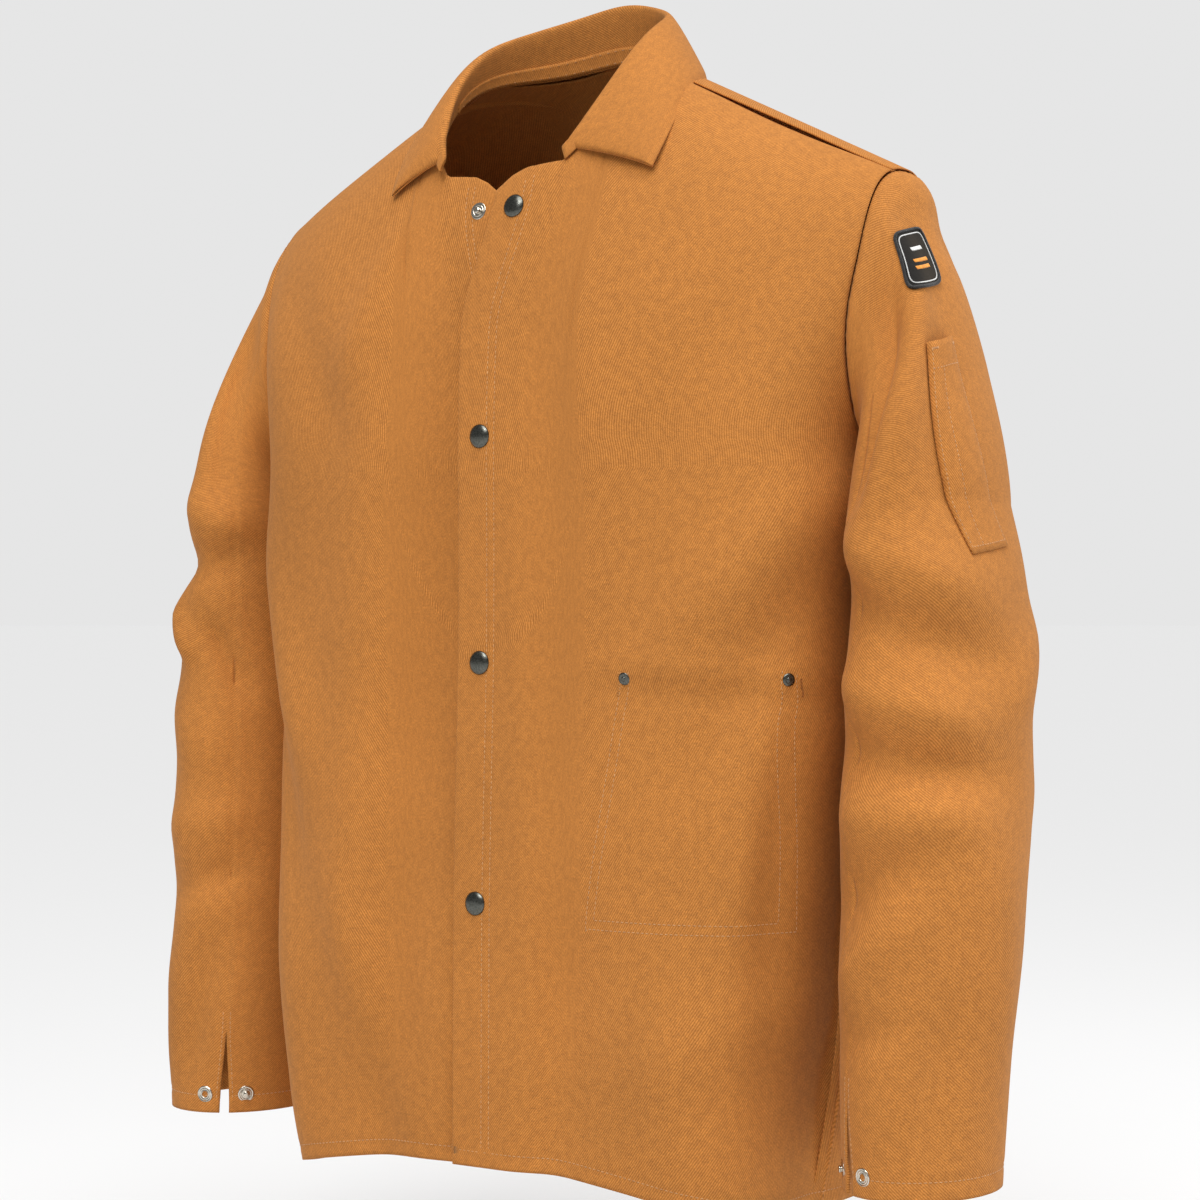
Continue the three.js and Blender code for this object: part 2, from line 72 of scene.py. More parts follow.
STAND_HEIGHT, STAND_END_HEIGHT = 38.0, 6.0
COLLAR_END_X = 33.0
LEAF_POINT_X, LEAF_POINT_SHIFT, LEAF_POINT_DEG = 102.5, 8.0, 43.2  # the two points aren't quite alike
LEAF_SIDE, LEAF_BELLY, LEAF_BACK, LEAF_CLEAR = 28.0, 9.0, 30.0, 4.5
SLEEVE = [  # height, centre x and y, half-width, half-depth, tilt
    (425, 269, -10, 40, 83, 12),
    (373, 275, -8, 47, 82, 7),
    (245, 277, -13, 54, 80, 0),
    (84, 277, -30, 50, 66, 0),
    (4, 278, -36, 47, 60, 0),
]
SLEEVE_TOP, CUFF = float(SLEEVE[0][0]), float(SLEEVE[-1][0])
SLEEVE_SEAM = math.radians(120)
SLIT_LENGTH, SLIT_OPEN = 66.0, 0.07
ELBOW = (386.0, 276.0)
SNAP_HEIGHTS = (628, 477, 329, 172)
POCKET = dict(bottom=158, top=325, inner=(80, 106), outer=(204, 213))
PEN_POCKET = dict(bottom=401, top=532, back=-9, front=24, twist=26, tilt=6)
BADGE = dict(bottom=566, top=604, back=14, front=64, twist=0, tilt=8)
PEN_DIVIDER = 0.66  # how far across the pen pocket its dividing row lies
EDGE_ROWS = (24.0, 30.0)  # the two rows of stitching behind each front edge
HEM_ROW, CUFF_ROW = 10, 12
PLY = 0.9
HEM_PLIES = 2.2


def row(p):
    """Hem millimetres to the frame's metres."""
    return (np.asarray(p, float) - (0, 0, NECK_Z)) * 0.001


def lerp(a, b, t):
    return a + (b - a) * t


def smooth(x, low, high):
    t = np.clip((np.asarray(x, float) - low) / (high - low), 0, 1)
    return t * t * (3 - 2 * t)


def unit(v):
    return v / np.maximum(np.linalg.norm(v, axis=-1, keepdims=True), 1e-9)


def off_zero(x):
    return np.where(np.abs(x) < 1e-6, 1e-6, x)


def bezier(a, b, c, d, t):
    return a * (1 - t) ** 3 + b * 3 * t * (1 - t) ** 2 + c * 3 * t * t * (1 - t) + d * t ** 3


def through(keys, at):
    """A smooth curve through (place, value) pairs."""
    k = np.array(keys, float)
    n = len(k)
    slopes = np.array([
        (k[min(j + 1, n - 1), 1] - k[max(j - 1, 0), 1]) / (k[min(j + 1, n - 1), 0] - k[max(j - 1, 0), 0])
        for j in range(n)
    ])
    t = np.clip(at, k[0, 0], k[-1, 0])
    i = np.clip(np.searchsorted(k[:, 0], t, side="left") - 1, 0, n - 2)
    span = k[i + 1, 0] - k[i, 0]
    w = (t - k[i, 0]) / span
    return (
        k[i, 1] * (1 + 2 * w) * (1 - w) ** 2
        + k[i + 1, 1] * w * w * (3 - 2 * w)
        + slopes[i] * span * w * (1 - w) ** 2
        - slopes[i + 1] * span * w * w * (1 - w)
    )


# ---- the body's surface, as in the CAD: s runs hem, underarm, over the shoulder and down the back
def section(s):
    """The body's half-width, depth and roundness at s, and how far over the shoulder it is."""
    top = (s > 1) & (s < 3)
    over = np.where(top, np.radians((s - 1) * 90), 0.0)
    z = np.where(top, UNDERARM_Z, UNDERARM_Z * np.where(s <= 1, s, 4 - s))
    front = s < 2
    rise = np.sin(over)
    depth = np.where(front, -through(FRONT_DEPTH, z), through(BACK_DEPTH, z))
    return dict(
        wide=through(HALF_WIDTH, z) + TOP_SPREAD * rise,
        deep=depth * np.abs(np.cos(over)) ** SHOULDER_ROUND,
        boxy=lerp(BOXINESS, TOP_BOXINESS, rise),
        lift=np.where(top, np.abs(rise) ** SHOULDER_ROUND, 0.0),
        z=z,
        back=SHOULDER_BACK * smooth(np.where(top, 1.0, z / UNDERARM_Z), 0.3, 1),
    )


def shoulder_top(x):
    return lerp(NECK_Z, SHOULDER_Z, (x - NECK_X) / (SHOULDER_X - NECK_X))


def body(turn, s):
    turn, s = np.broadcast_arrays(np.asarray(turn, float), np.asarray(s, float))
    c = section(s)
    sin, cos = np.abs(np.sin(turn)), np.maximum(np.cos(turn), 0)
    rounding = (sin ** c["boxy"] + cos ** c["boxy"]) ** (1 / c["boxy"])
    x = c["wide"] * sin / rounding
    low = np.where(s < 2, smooth(np.abs(turn), 0.25, 1.2) * np.maximum(1 - s, 0), np.maximum(s - 3, 0))
    z = c["z"] + (np.minimum(shoulder_top(x), NECK_Z + NAPE_RISE) - UNDERARM_Z) * c["lift"] - HEM_DROP * low
    return np.stack([x * np.sign(turn), c["deep"] * cos / rounding + c["back"], z], -1)


def turn_at(x, s):
    c = section(np.asarray(s, float))
    share = np.clip(np.abs(x) / c["wide"], 0, 0.999999) ** c["boxy"]
    return np.arctan((share / (1 - share)) ** (1 / c["boxy"])) * np.where(np.asarray(x) < 0, -1, 1)


def armhole_turn(s):
    over = (np.asarray(s, float) - 1) * 90
    return np.radians(through(ARMHOLE, np.where(over > 90, 180 - over, over)))


def outer_turn(s):
    return np.where((s <= 1) | (s >= 3), math.pi / 2, armhole_turn(np.clip(s, 1, 3)))


def neckline(x, middle_deg):
    across = np.sqrt(np.maximum(0, 1 - (np.asarray(x) / NECK_X) ** 2))
    return 1 + (SEAM_DEG + (middle_deg - SEAM_DEG) * across) / 90


def body_out(turn, s):
    e = 0.004
    return unit(np.cross(body(turn + e, s) - body(turn - e, s), body(turn, s + e) - body(turn, s - e)))


def front_point(side, x, s, inward=0.0):
    turn = turn_at(off_zero(x), s)
    p = body(turn, s)
    near = 1 - smooth(x, 24, 60)
    lift = LEFT_LIFT if side > 0 else RIGHT_LIFT
    p = p + body_out(turn, s) * np.expand_dims(lift * near - inward, -1)
    p[..., 0] += NECK_SPREAD * smooth(p[..., 2], *NECK_SPREAD_Z) * (1 - smooth(x, 20, 100))
    return p


# ---- folds: each is a ridge along a line, given as x0, z0, x1, z1, width and height
def folds(x, z, ridges):
    out = np.zeros(np.broadcast(x, z).shape)
    for x0, z0, x1, z1, width, height in ridges:
        dx, dz = x1 - x0, z1 - z0
        length = math.hypot(dx, dz)
        along = ((x - x0) * dx + (z - z0) * dz) / length
        off = ((x - x0) * dz - (z - z0) * dx) / length
        ends = smooth(along, -0.25 * length, 0.3 * length) * (1 - smooth(along, 0.7 * length, 1.25 * length))
        out += height * np.exp(-((off / width) ** 2)) * ends
    return out


def drift(x, z, seed, size):
    """Gentle unevenness, made of a few fixed waves."""
    rng = np.random.default_rng(seed)
    out = 0
    for _ in range(7):
        heading, phase = rng.uniform(0, math.pi), rng.uniform(0, 2 * math.pi)
        pace = 2 * math.pi / (size * rng.uniform(0.7, 1.6))
        out = out + np.sin((x * math.cos(heading) + z * math.sin(heading)) * pace + phase)
    return out / 4


LEFT_FOLDS = [
    (96, 331, 216, 322, 9, 1.6), (98, 312, 214, 306, 8, -1.4),
    (238, 452, 130, 330, 24, 5), (232, 400, 150, 250, 17, -3), (205, 585, 110, 430, 34, -4),
    (70, 590, 95, 430, 26, 3.5), (150, -20, 140, 150, 26, 5), (62, -10, 68, 170, 24, -4),
    (210, 120, 120, 60, 24, 3), (206, 300, 200, -30, 17, -7), (28, 430, 46, 60, 14, 2), (185, 160, 205, 330, 12, 3),
]
RIGHT_FOLDS = [
    (34, 560, 42, 180, 27, -8), (62, 380, 82, -20, 26, -5.5), (30, 200, 36, -20, 22, 2), (92, 600, 104, 60, 36, 5),
    (235, 440, 150, 250, 22, 5), (222, 360, 160, 160, 18, -4), (60, 640, 120, 520, 20, 3), (160, -20, 170, 170, 26, 5),
    (205, 600, 120, 470, 26, -4), (120, 180, 60, 20, 20, 4),
]
BACK_FOLDS = [
    (-180, 560, -90, 380, 26, 5), (180, 560, 95, 390, 26, 5), (-150, 500, -60, 300, 22, -4),
    (150, 480, 70, 260, 22, -4), (0, 420, 10, 40, 30, 4), (-110, 260, -120, -20, 24, 5),
    (120, 280, 110, -20, 24, 5), (-60, 200, -70, -20, 18, -4), (60, 220, 55, -20, 18, -4),
    (-200, 300, -140, 80, 20, 4), (200, 330, 150, 90, 20, 4), (-60, 640, 60, 645, 30, -2),
]


class Cloth:
    """A piece of cloth on a grid: us and vs are its columns and rows, points its shape in millimetres.

    sign says which way its outside faces, and cut, where it has one, is its shape laid flat in metres.
    """

    def __init__(self, us, vs, points, sign=1):
        self.us, self.vs, self.points = np.asarray(us, float), np.asarray(vs, float), points
        self.sign, self.cut = sign, None
        self.settle()

    def settle(self):
        du, dv = np.gradient(self.points, axis=0), np.gradient(self.points, axis=1)
        self.normals = unit(np.cross(du, dv)) * self.sign

    def face(self, agrees):
        """Turns the outside over if agrees is negative."""
        if agrees < 0:
            self.sign *= -1
            self.settle()

    def mirror(self):
        self.points[..., 0] *= -1
        self.sign *= -1
        self.settle()

    def push(self, distance):
        self.points = self.points + self.normals * distance[..., None]
        self.settle()

    def flat(self):
        """Lengths along the columns and rows, in metres."""
        step_u = np.linalg.norm(np.diff(self.points, axis=0), axis=-1)
        step_v = np.linalg.norm(np.diff(self.points, axis=1), axis=-1)
        u = np.concatenate([np.zeros((1, self.points.shape[1])), np.cumsum(step_u, 0)])
        v = np.concatenate([np.zeros((self.points.shape[0], 1)), np.cumsum(step_v, 1)], 1)
        return np.stack([u, v], -1) * 0.001

    def at(self, u, v):
        """Point and outward direction at any u, v."""
        i = np.clip(np.interp(u, self.us, np.arange(len(self.us))), 0, len(self.us) - 1.0001)
        j = np.clip(np.interp(v, self.vs, np.arange(len(self.vs))), 0, len(self.vs) - 1.0001)
        i0, j0 = np.floor(i).astype(int), np.floor(j).astype(int)
        fi, fj = (i - i0)[..., None], (j - j0)[..., None]

        def mix(a):
            low = a[i0, j0] * (1 - fi) + a[i0 + 1, j0] * fi
            high = a[i0, j0 + 1] * (1 - fi) + a[i0 + 1, j0 + 1] * fi
            return low * (1 - fj) + high * fj

        return mix(self.points), unit(mix(self.normals))

    def v_at_height(self, u, z):
        vs = np.linspace(self.vs[0], self.vs[-1], 600)
        heights = self.at(np.full_like(vs, u), vs)[0][:, 2]
        order = np.argsort(heights)
        return float(np.interp(z, heights[order], vs[order]))


def mesh_object(name, bm, material):
    mesh = bpy.data.meshes.new(name)
    bm.to_mesh(mesh)
    bm.free()
    for polygon in mesh.polygons:
        polygon.use_smooth = True
    obj = bpy.data.objects.new(name, mesh)
    bpy.context.scene.collection.objects.link(obj)
    mesh.materials.append(material)
    return obj


def sew(name, cloth, material, thickness=PLY, doubled=None, close=False):
    """Makes a cloth's grid a mesh one ply thick. doubled is how folded over each point is, from 0 to 1, as in a hem."""
    nu, nv = cloth.points.shape[:2]
    flat = cloth.flat() if cloth.cut is None else cloth.cut
    bm = bmesh.new()
    bmesh.ops.create_grid(bm, x_segments=nu - 1, y_segments=nv - 1, size=0.5)
    uv = bm.loops.layers.uv.new("flat")
    weights = bm.verts.layers.deform.new()
    where = {}
    places = row(cloth.points)
    for v in bm.verts:
        i, j = round((v.co.x + 0.5) * (nu - 1)), round((v.co.y + 0.5) * (nv - 1))
        where[v] = (i, j)
        v.co = places[i, j]
        if doubled is not None:
            v[weights][0] = float(doubled[i, j])
    for face in bm.faces:
        for loop in face.loops:
            loop[uv].uv = flat[where[loop.vert]]
    if cloth.sign < 0:
        bmesh.ops.reverse_faces(bm, faces=bm.faces)
    if close:
        bmesh.ops.remove_doubles(bm, verts=bm.verts, dist=0.00025)
    obj = mesh_object(name, bm, material)
    solid = obj.modifiers.new("ply", "SOLIDIFY")
    solid.offset = -1
    solid.thickness = thickness * 0.001
    if doubled is not None:
        obj.vertex_groups.new(name="doubled")
        solid.vertex_group = "doubled"
        solid.thickness = thickness * 0.001 * HEM_PLIES
        solid.thickness_vertex_group = 1 / HEM_PLIES
    return obj


# ---- finishes
def finish_of(name):
    material = bpy.data.materials.new(name)
    material.use_nodes = True
    nodes, links = material.node_tree.nodes, material.node_tree.links
    return material, nodes, links, nodes["Principled BSDF"]


def ramp(nodes, links, factor, stops):
    """Colours between (place, colour) stops, picked by factor."""
    made = nodes.new("ShaderNodeValToRGB")
    while len(made.color_ramp.elements) < len(stops):
        made.color_ramp.elements.new(0.5)
    for element, (place, colour) in zip(made.color_ramp.elements, stops):
        element.position, element.color = place, (*colour, 1)
    links.new(factor, made.inputs["Fac"])
    return made.outputs["Color"]


def noise(nodes, links, vector, scale, detail=2):
    made = nodes.new("ShaderNodeTexNoise")
    made.inputs["Scale"].default_value = scale
    made.inputs["Detail"].default_value = detail
    links.new(vector, made.inputs["Vector"])
    return made.outputs["Fac"]


def spread(nodes, links, factor, low, high):
    made = nodes.new("ShaderNodeMapRange")
    made.inputs["To Min"].default_value, made.inputs["To Max"].default_value = low, high
    links.new(factor, made.inputs["Value"])
    return made.outputs["Result"]


def object_place(nodes):
    return nodes.new("ShaderNodeTexCoord").outputs["Object"]


ONE_BAND = 0.314  # a wave texture's scale for one band in each metre


def twill(name, dark, light, slope, period=0.0014):
    """Cotton twill: diagonal ribs, heathered yarns and a slow change of shade."""
    material, nodes, links, shader = finish_of(name)
    flat = nodes.new("ShaderNodeUVMap")
    flat.uv_map = "flat"
    turned_flat = nodes.new("ShaderNodeMapping")
    turned_flat.inputs["Rotation"].default_value[2] = math.radians(-slope)
    links.new(flat.outputs["UV"], turned_flat.inputs["Vector"])
    ribs = nodes.new("ShaderNodeTexWave")
    ribs.bands_direction = "Y"
    ribs.inputs["Scale"].default_value = ONE_BAND / period
    ribs.inputs["Distortion"].default_value = 0.9
    ribs.inputs["Detail"].default_value = 1
    ribs.inputs["Detail Scale"].default_value = 2
    links.new(turned_flat.outputs["Vector"], ribs.inputs["Vector"])
    yarn = noise(nodes, links, flat.outputs["UV"], 700, 3)
    slub = noise(nodes, links, turned_flat.outputs["Vector"], 160)
    shade = noise(nodes, links, object_place(nodes), 7, 4)

    # the ribs are coloured dark in their grooves and light on their crests: the weave's pattern, with painted shade in
    # the grooves between the ribs
    colour = ramp(nodes, links, ribs.outputs["Fac"], [(0.15, dark), (0.85, light)])
    for share, factor, stops in (
        (0.8, yarn, [(0.3, (0.72, 0.72, 0.72)), (0.7, (1.12, 1.1, 1.06))]),
        (0.9, slub, [(0.35, (0.9, 0.89, 0.88)), (0.65, (1.06, 1.06, 1.05))]),
        (1.0, shade, [(0.3, (0.93, 0.92, 0.9)), (0.7, (1.05, 1.04, 1.03))]),
    ):
        over = nodes.new("ShaderNodeMix")
        over.data_type, over.blend_type = "RGBA", "MULTIPLY"
        over.inputs["Factor"].default_value = share
        links.new(colour, over.inputs["A"])
        links.new(ramp(nodes, links, factor, stops), over.inputs["B"])
        colour = over.outputs["Result"]
    links.new(colour, shader.inputs["Base Color"])

    height = nodes.new("ShaderNodeMath")
    height.operation = "MULTIPLY_ADD"
    height.inputs[1].default_value = 0.5
    links.new(yarn, height.inputs[0])
    links.new(ribs.outputs["Fac"], height.inputs[2])
    bump = nodes.new("ShaderNodeBump")
    bump.inputs["Strength"].default_value = 0.245
    bump.inputs["Distance"].default_value = 0.0003
    links.new(height.outputs["Value"], bump.inputs["Height"])
    links.new(bump.outputs["Normal"], shader.inputs["Normal"])
    links.new(spread(nodes, links, slub, 0.78, 0.95), shader.inputs["Roughness"])
    shader.inputs["Specular IOR Level"].default_value = 0.25
    shader.inputs["Sheen Weight"].default_value = 0.1
    shader.inputs["Sheen Roughness"].default_value = 0.45
    shader.inputs["Sheen Tint"].default_value = (1.0, 0.72, 0.42, 1)
    return material


def thread(name, dark, light):
    material, nodes, links, shader = finish_of(name)
    strands = noise(nodes, links, object_place(nodes), 500)
    links.new(ramp(nodes, links, strands, [(0.3, dark), (0.7, light)]), shader.inputs["Base Color"])
    shader.inputs["Roughness"].default_value = 0.6
    shader.inputs["Sheen Weight"].default_value = 0.3
    return material


def plate(name, dark, light, roughness):
    """Plated snap metal, with fine wear in its gloss."""
    material, nodes, links, shader = finish_of(name)
    wear = noise(nodes, links, object_place(nodes), 900, 5)
    links.new(ramp(nodes, links, wear, [(0.35, dark), (0.7, light)]), shader.inputs["Base Color"])
    links.new(spread(nodes, links, wear, roughness * 0.7, roughness * 1.4), shader.inputs["Roughness"])
    shader.inputs["Metallic"].default_value = 1
    return material


# the tan cloth's colours in the grooves and on the crests of its ribs; the darker one carries painted shade for the
# grooves
TAN = ((0.43, 0.16, 0.027), (0.62, 0.25, 0.06))
cloth_up = twill("tan twill", *TAN, slope=62)
cloth_across = twill("tan twill, cut across", *TAN, slope=-40)
thread_tan = thread("tan thread", (0.4, 0.18, 0.055), (0.64, 0.33, 0.12))
thread_white = thread("white thread", (0.7, 0.7, 0.68), (0.85, 0.85, 0.83))
thread_orange = thread("orange thread", (0.75, 0.25, 0.02), (0.95, 0.4, 0.04))
METAL = {  # by the name of its slot
    "steel": plate("nickel plate", (0.5, 0.46, 0.38), (0.72, 0.68, 0.6), 0.22),
    "gunmetal": plate("black nickel plate", (0.085, 0.088, 0.076), (0.15, 0.15, 0.135), 0.27),
}
patch_cloth = twill("black patch weave", (0.004, 0.004, 0.004), (0.02, 0.02, 0.02), slope=0, period=0.0009)


# ---- which body a piece follows, and how it is laid flat
BLEND_OF = {
    "left_front": dict(a="jacket", b="left_front", start=row((79, -120, 300)), end=row((47, -120, 300))),
    "right_front": dict(a="jacket", b="right_front", start=row((-79, -120, 300)), end=row((-47, -120, 300))),
    "left_forearm": dict(a="jacket", b="left_forearm", start=row((275, -10, ELBOW[0])), end=row((275, -10, ELBOW[1]))),
    "right_forearm": dict(
        a="jacket", b="right_forearm", start=row((-275, -10, ELBOW[0])), end=row((-275, -10, ELBOW[1]))),
}
LEAST_AREA = 0.31  # of a sheet, as a share of the rectangle it is cut from


def bend(obj):
    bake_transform(obj)


def declare(cloth):
    width, length = (float(span) for span in cloth.flat().reshape(-1, 2).max(0))
    diagonals = (
        cloth.points[1:, 1:] - cloth.points[:-1, :-1],
        cloth.points[1:, :-1] - cloth.points[:-1, 1:],
    )
    area = float(np.linalg.norm(np.cross(*diagonals), axis=-1).sum()) / 2 * 1e-6
    area = min(max(area, LEAST_AREA * width * length), width * length)


def cut_of(cloth, level, column):
    """The cloth's cut laid flat: across along its rows, and up along one column, carried to the others by level."""
    lengths = cloth.flat()
    across = lengths[..., 0] - lengths[column:column + 1, :, 0]
    order = np.argsort(level[column])
    up = np.interp(level, level[column][order], lengths[column, :, 1][order])
    return np.stack([across, up], -1)


def hem_double(cloth, height):
    """1 where the hem is folded up, 0 above it."""
    z = cloth.points[..., 2]
    return 1 - smooth(z - z.min(axis=1, keepdims=True), height, height + 2.5)


# ---- the fronts. A column's place c is how far it lies from the folded front edge: negative on the facing.
FACING = 42.0
FOLD_R = 1.1
HALF_FOLD = math.pi * FOLD_R / 2
FRONT_HEM, BACK_HEM, CUFF_HEM = 14, 14, 16


def front_columns():
    facing = np.linspace(-FACING, -HALF_FOLD, 9)
    fold = np.linspace(-HALF_FOLD, HALF_FOLD, 7)
    placket = np.unique(np.concatenate([
        np.linspace(HALF_FOLD, FLAT_FRONT, 22),
        [r + d for r in EDGE_ROWS for d in (-2.2, -1.1, 0, 1.1, 2.2)],
    ]))
    side = FLAT_FRONT + np.linspace(0, 1, 46)[1:] * 1000  # beyond: thousandths of the way to the side seam
    return np.unique(np.round(np.concatenate([facing, fold, placket, side]), 4))


def column_x(c, s):
    """Distance from the centre, for columns c at heights s; also how deep behind the cloth the column lies."""
    c, s = np.broadcast_arrays(np.asarray(c, float), np.asarray(s, float))
    curl = np.clip(c / FOLD_R, -math.pi / 2, math.pi / 2)
    from_fold = np.maximum(np.abs(np.clip(c, -FACING, FLAT_FRONT)) - HALF_FOLD, 0)
    x = -LAP + FOLD_R * (1 - np.cos(curl)) + from_fold
    share = np.clip((c - FLAT_FRONT) / 1000, 0, 1)
    last = -LAP + FOLD_R + FLAT_FRONT - HALF_FOLD
    turn = lerp(turn_at(np.full_like(s, last), s), outer_turn(s), share)
    x = np.where(c > FLAT_FRONT, body(turn, s)[..., 0], x)
    return x, FOLD_R * (1 - np.sin(curl))


def front_top(c):
    """How far up each column goes: to the neck seam or to the shoulder seam."""
    collar_end = neckline(COLLAR_END_X, FRONT_NECK_DEG)
    corner = 1 + (FRONT_NECK_DEG - 0.6) / 90
    s = np.full(np.shape(c), SEAM_S)
    for _ in range(40):
        x = column_x(c, s)[0]
        under_collar = neckline(np.clip(x, 0, NECK_X), FRONT_NECK_DEG)
        before_collar = lerp(corner, collar_end, (x + LAP) / (COLLAR_END_X + LAP))
        neck = np.where(x > COLLAR_END_X, under_collar, before_collar)
        s = lerp(s, np.where(np.abs(x) < NECK_X, neck, SEAM_S), 0.6)
    return s


def front_cloth(side, ridges, seed):
    columns = front_columns()
    rows = np.unique(np.round(np.concatenate([
        np.linspace(0, 0.03, 10), np.linspace(0.03, 0.96, 130), np.linspace(0.96, 1, 9)]), 5))
    past_seam = np.where(columns > FLAT_FRONT, 0.03, 0)
    c, up = np.meshgrid(columns, rows, indexing="ij")
    s = 0.001 + up * (front_top(columns)[:, None] + past_seam[:, None] - 0.001)
    x, deep = column_x(c, s)
    under_seam = 1.3 * smooth(s, SEAM_S - 0.012, SEAM_S + 0.006)
    points = front_point(side, x, s, deep + under_seam)
    cloth = Cloth(columns, rows, points)
    cloth.cut = cut_of(cloth, s, np.argmin(np.abs(columns - FLAT_FRONT - 300)))

    z = points[..., 2]
    from_edge = np.abs(c)
    calm_neck = 1 - 0.8 * smooth(z, 600, 640) * (1 - smooth(x, 60, 110))
    near_side = smooth(c, FLAT_FRONT + 880, FLAT_FRONT + 995)
    rise = 1.45 * folds(x, z, ridges) * calm_neck + drift(x, z, seed, 150) * 1.3 * smooth(from_edge, 20, 120)
    rise += drift(x, z * 0.4, seed + 5, 120) * 2.2 * (1 - smooth(z, 0, 120)) * smooth(from_edge, 30, 140)
    rise *= 1 - near_side
    pucker = 0.22 * np.sin(z / 2.1 + np.sin(z / 17)) * np.exp(-(((from_edge - 1) / 5) ** 2))
    rows_sunk = sum(-0.42 * np.exp(-(((c - r) / 1.3) ** 2)) for r in EDGE_ROWS)
    hem_sunk = -0.4 * np.exp(-(((z - z[:, :1] - HEM_ROW) / 2.5) ** 2))
    shoulder_drop = -0.8 * smooth(s, SEAM_S - 0.03, SEAM_S) * (1 - smooth(x, 190, 235))
    push = rise + np.where(c > 0, pucker + rows_sunk + hem_sunk + shoulder_drop, 0)
    cloth.points = points + body_out(turn_at(off_zero(x), s), s) * push[..., None]
    cloth.settle()
    if side < 0:
        cloth.mirror()
    return cloth


def make_front(word, cloth):
    obj = sew(f"{word}_front", cloth, cloth_up, doubled=hem_double(cloth, FRONT_HEM))
    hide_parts(f"{word}_front_panel", f"{word}_front_fold", f"{word}_front_edge", f"{word}_front_facing")
    bend(obj)
    declare(cloth)


left = front_cloth(1, LEFT_FOLDS, 3)
right = front_cloth(-1, RIGHT_FOLDS, 8)
FRONTS = (("left", left), ("right", right))
for word, cloth in FRONTS:
    make_front(word, cloth)


# ---- back
SIDE_TUCK, SIDE_TUCK_IN = 14, 3.2  # how far its side edges lie forward of the fronts' and inside them
BACK_CUT_COLUMN = 78  # reaches the shoulder seam, beside the neck


def back_cloth():
    columns = np.linspace(-1, 1, 121)
    rows = np.unique(np.concatenate([np.linspace(0, 0.03, 10), np.linspace(0.03, 1, 130)]))
    crown = np.abs(body(columns * outer_turn(2.0), 2.0)[:, 0])
    top = np.where(crown < NECK_X, neckline(np.minimum(crown, NECK_X), BACK_NECK_DEG), SEAM_S) + 0.001
    across, up = np.meshgrid(columns, rows, indexing="ij")
    crown, top = crown[:, None], top[:, None]
    s = 3.999 - up * (3.999 - top)
    turn = across * outer_turn(s) * np.where(s > 3, 1.012, 1.0)
    points = body(off_zero(turn), np.clip(s, 0, 3.9995))
    x, z = points[..., 0], points[..., 2]

    upright = smooth(s, 2.2, 2.9)[..., None]
    rearward = unit(points * (0.6, 1, 0) + (0, 20, 0))
    out = unit(rearward * upright + np.array((0, 0.25, 1.0)) * (1 - upright))
    rise = folds(x, z, BACK_FOLDS) * smooth(s, 2.0, 2.4)
    rise += drift(x, z, 21, 170) * 1.4 * smooth(s, 2.1, 2.5)
    rise += drift(x, z * 0.4, 25, 130) * 2.4 * (1 - smooth(z, 0, 140))
    rise *= 1 - smooth(np.abs(across), 0.88, 0.995)
    below_seam = 1 - smooth(s, top + 0.006, top + 0.05)
    rise += 0.9 * below_seam * (crown > NECK_X) * (1 - smooth(crown, 170, 225))
    # the side edges tuck forward under the fronts, below the armholes
    side_edge = smooth(np.abs(across), 0.965, 1.0)
    rise -= SIDE_TUCK_IN * side_edge * smooth(s, 2.95, 3.05)
    points[..., 1] -= SIDE_TUCK * side_edge * smooth(s, 3.02, 3.1)

    cloth = Cloth(columns, rows, points)
    cloth.cut = cut_of(cloth, -s, BACK_CUT_COLUMN)
    cloth.points = points + out * rise[..., None]
    cloth.settle()
    cloth.face(np.mean(cloth.normals[60, 30:60, 1]))
    return cloth


back = back_cloth()
obj = sew("back", back, cloth_up, doubled=hem_double(back, BACK_HEM))
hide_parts("back_panel")
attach(obj, "jacket")
declare(back)


# ---- sleeves
def armhole(angle):
    wrapped = np.arctan2(np.sin(angle), np.cos(angle))
    s = np.clip(2 - wrapped / math.pi, 1.0001, 2.9999)
    return body(armhole_turn(s), s)


def sleeve_ring(height, angle):
    keys = SLEEVE[::-1]
    x, y, half_width, half_depth, tilt = (through([(k[0], k[i]) for k in keys], height) for i in range(1, 6))
    tilt = np.radians(tilt)
    reach = half_width * np.cos(angle)
    return np.stack([x + reach * np.cos(tilt), y - half_depth * np.sin(angle), height + reach * np.sin(tilt)], -1)


def sleeve_point(angle, down):
    """down 0 to 1 is armhole to underarm, 1 to 2 is underarm to cuff."""
    first = sleeve_ring(np.full(np.shape(angle), SLEEVE_TOP), angle)
    outer = 0.5 + 0.5 * np.cos(angle)
    away = np.stack([lerp(0.5, 0.55, outer), 0 * outer, lerp(-0.87, -0.83, outer)], -1)
    start = armhole(angle) + away * 1.0
    reach = np.linalg.norm(start - first, axis=-1)[..., None] * 0.42
    t = np.clip(down, 0, 1)[..., None]
    head = bezier(start, start + away * reach, first + reach * np.array((0, 0, 1)), first, t)
    low = sleeve_ring(lerp(SLEEVE_TOP, CUFF, np.clip(down - 1, 0, 1)), angle)
    return np.where((down < 1)[..., None], head, low)


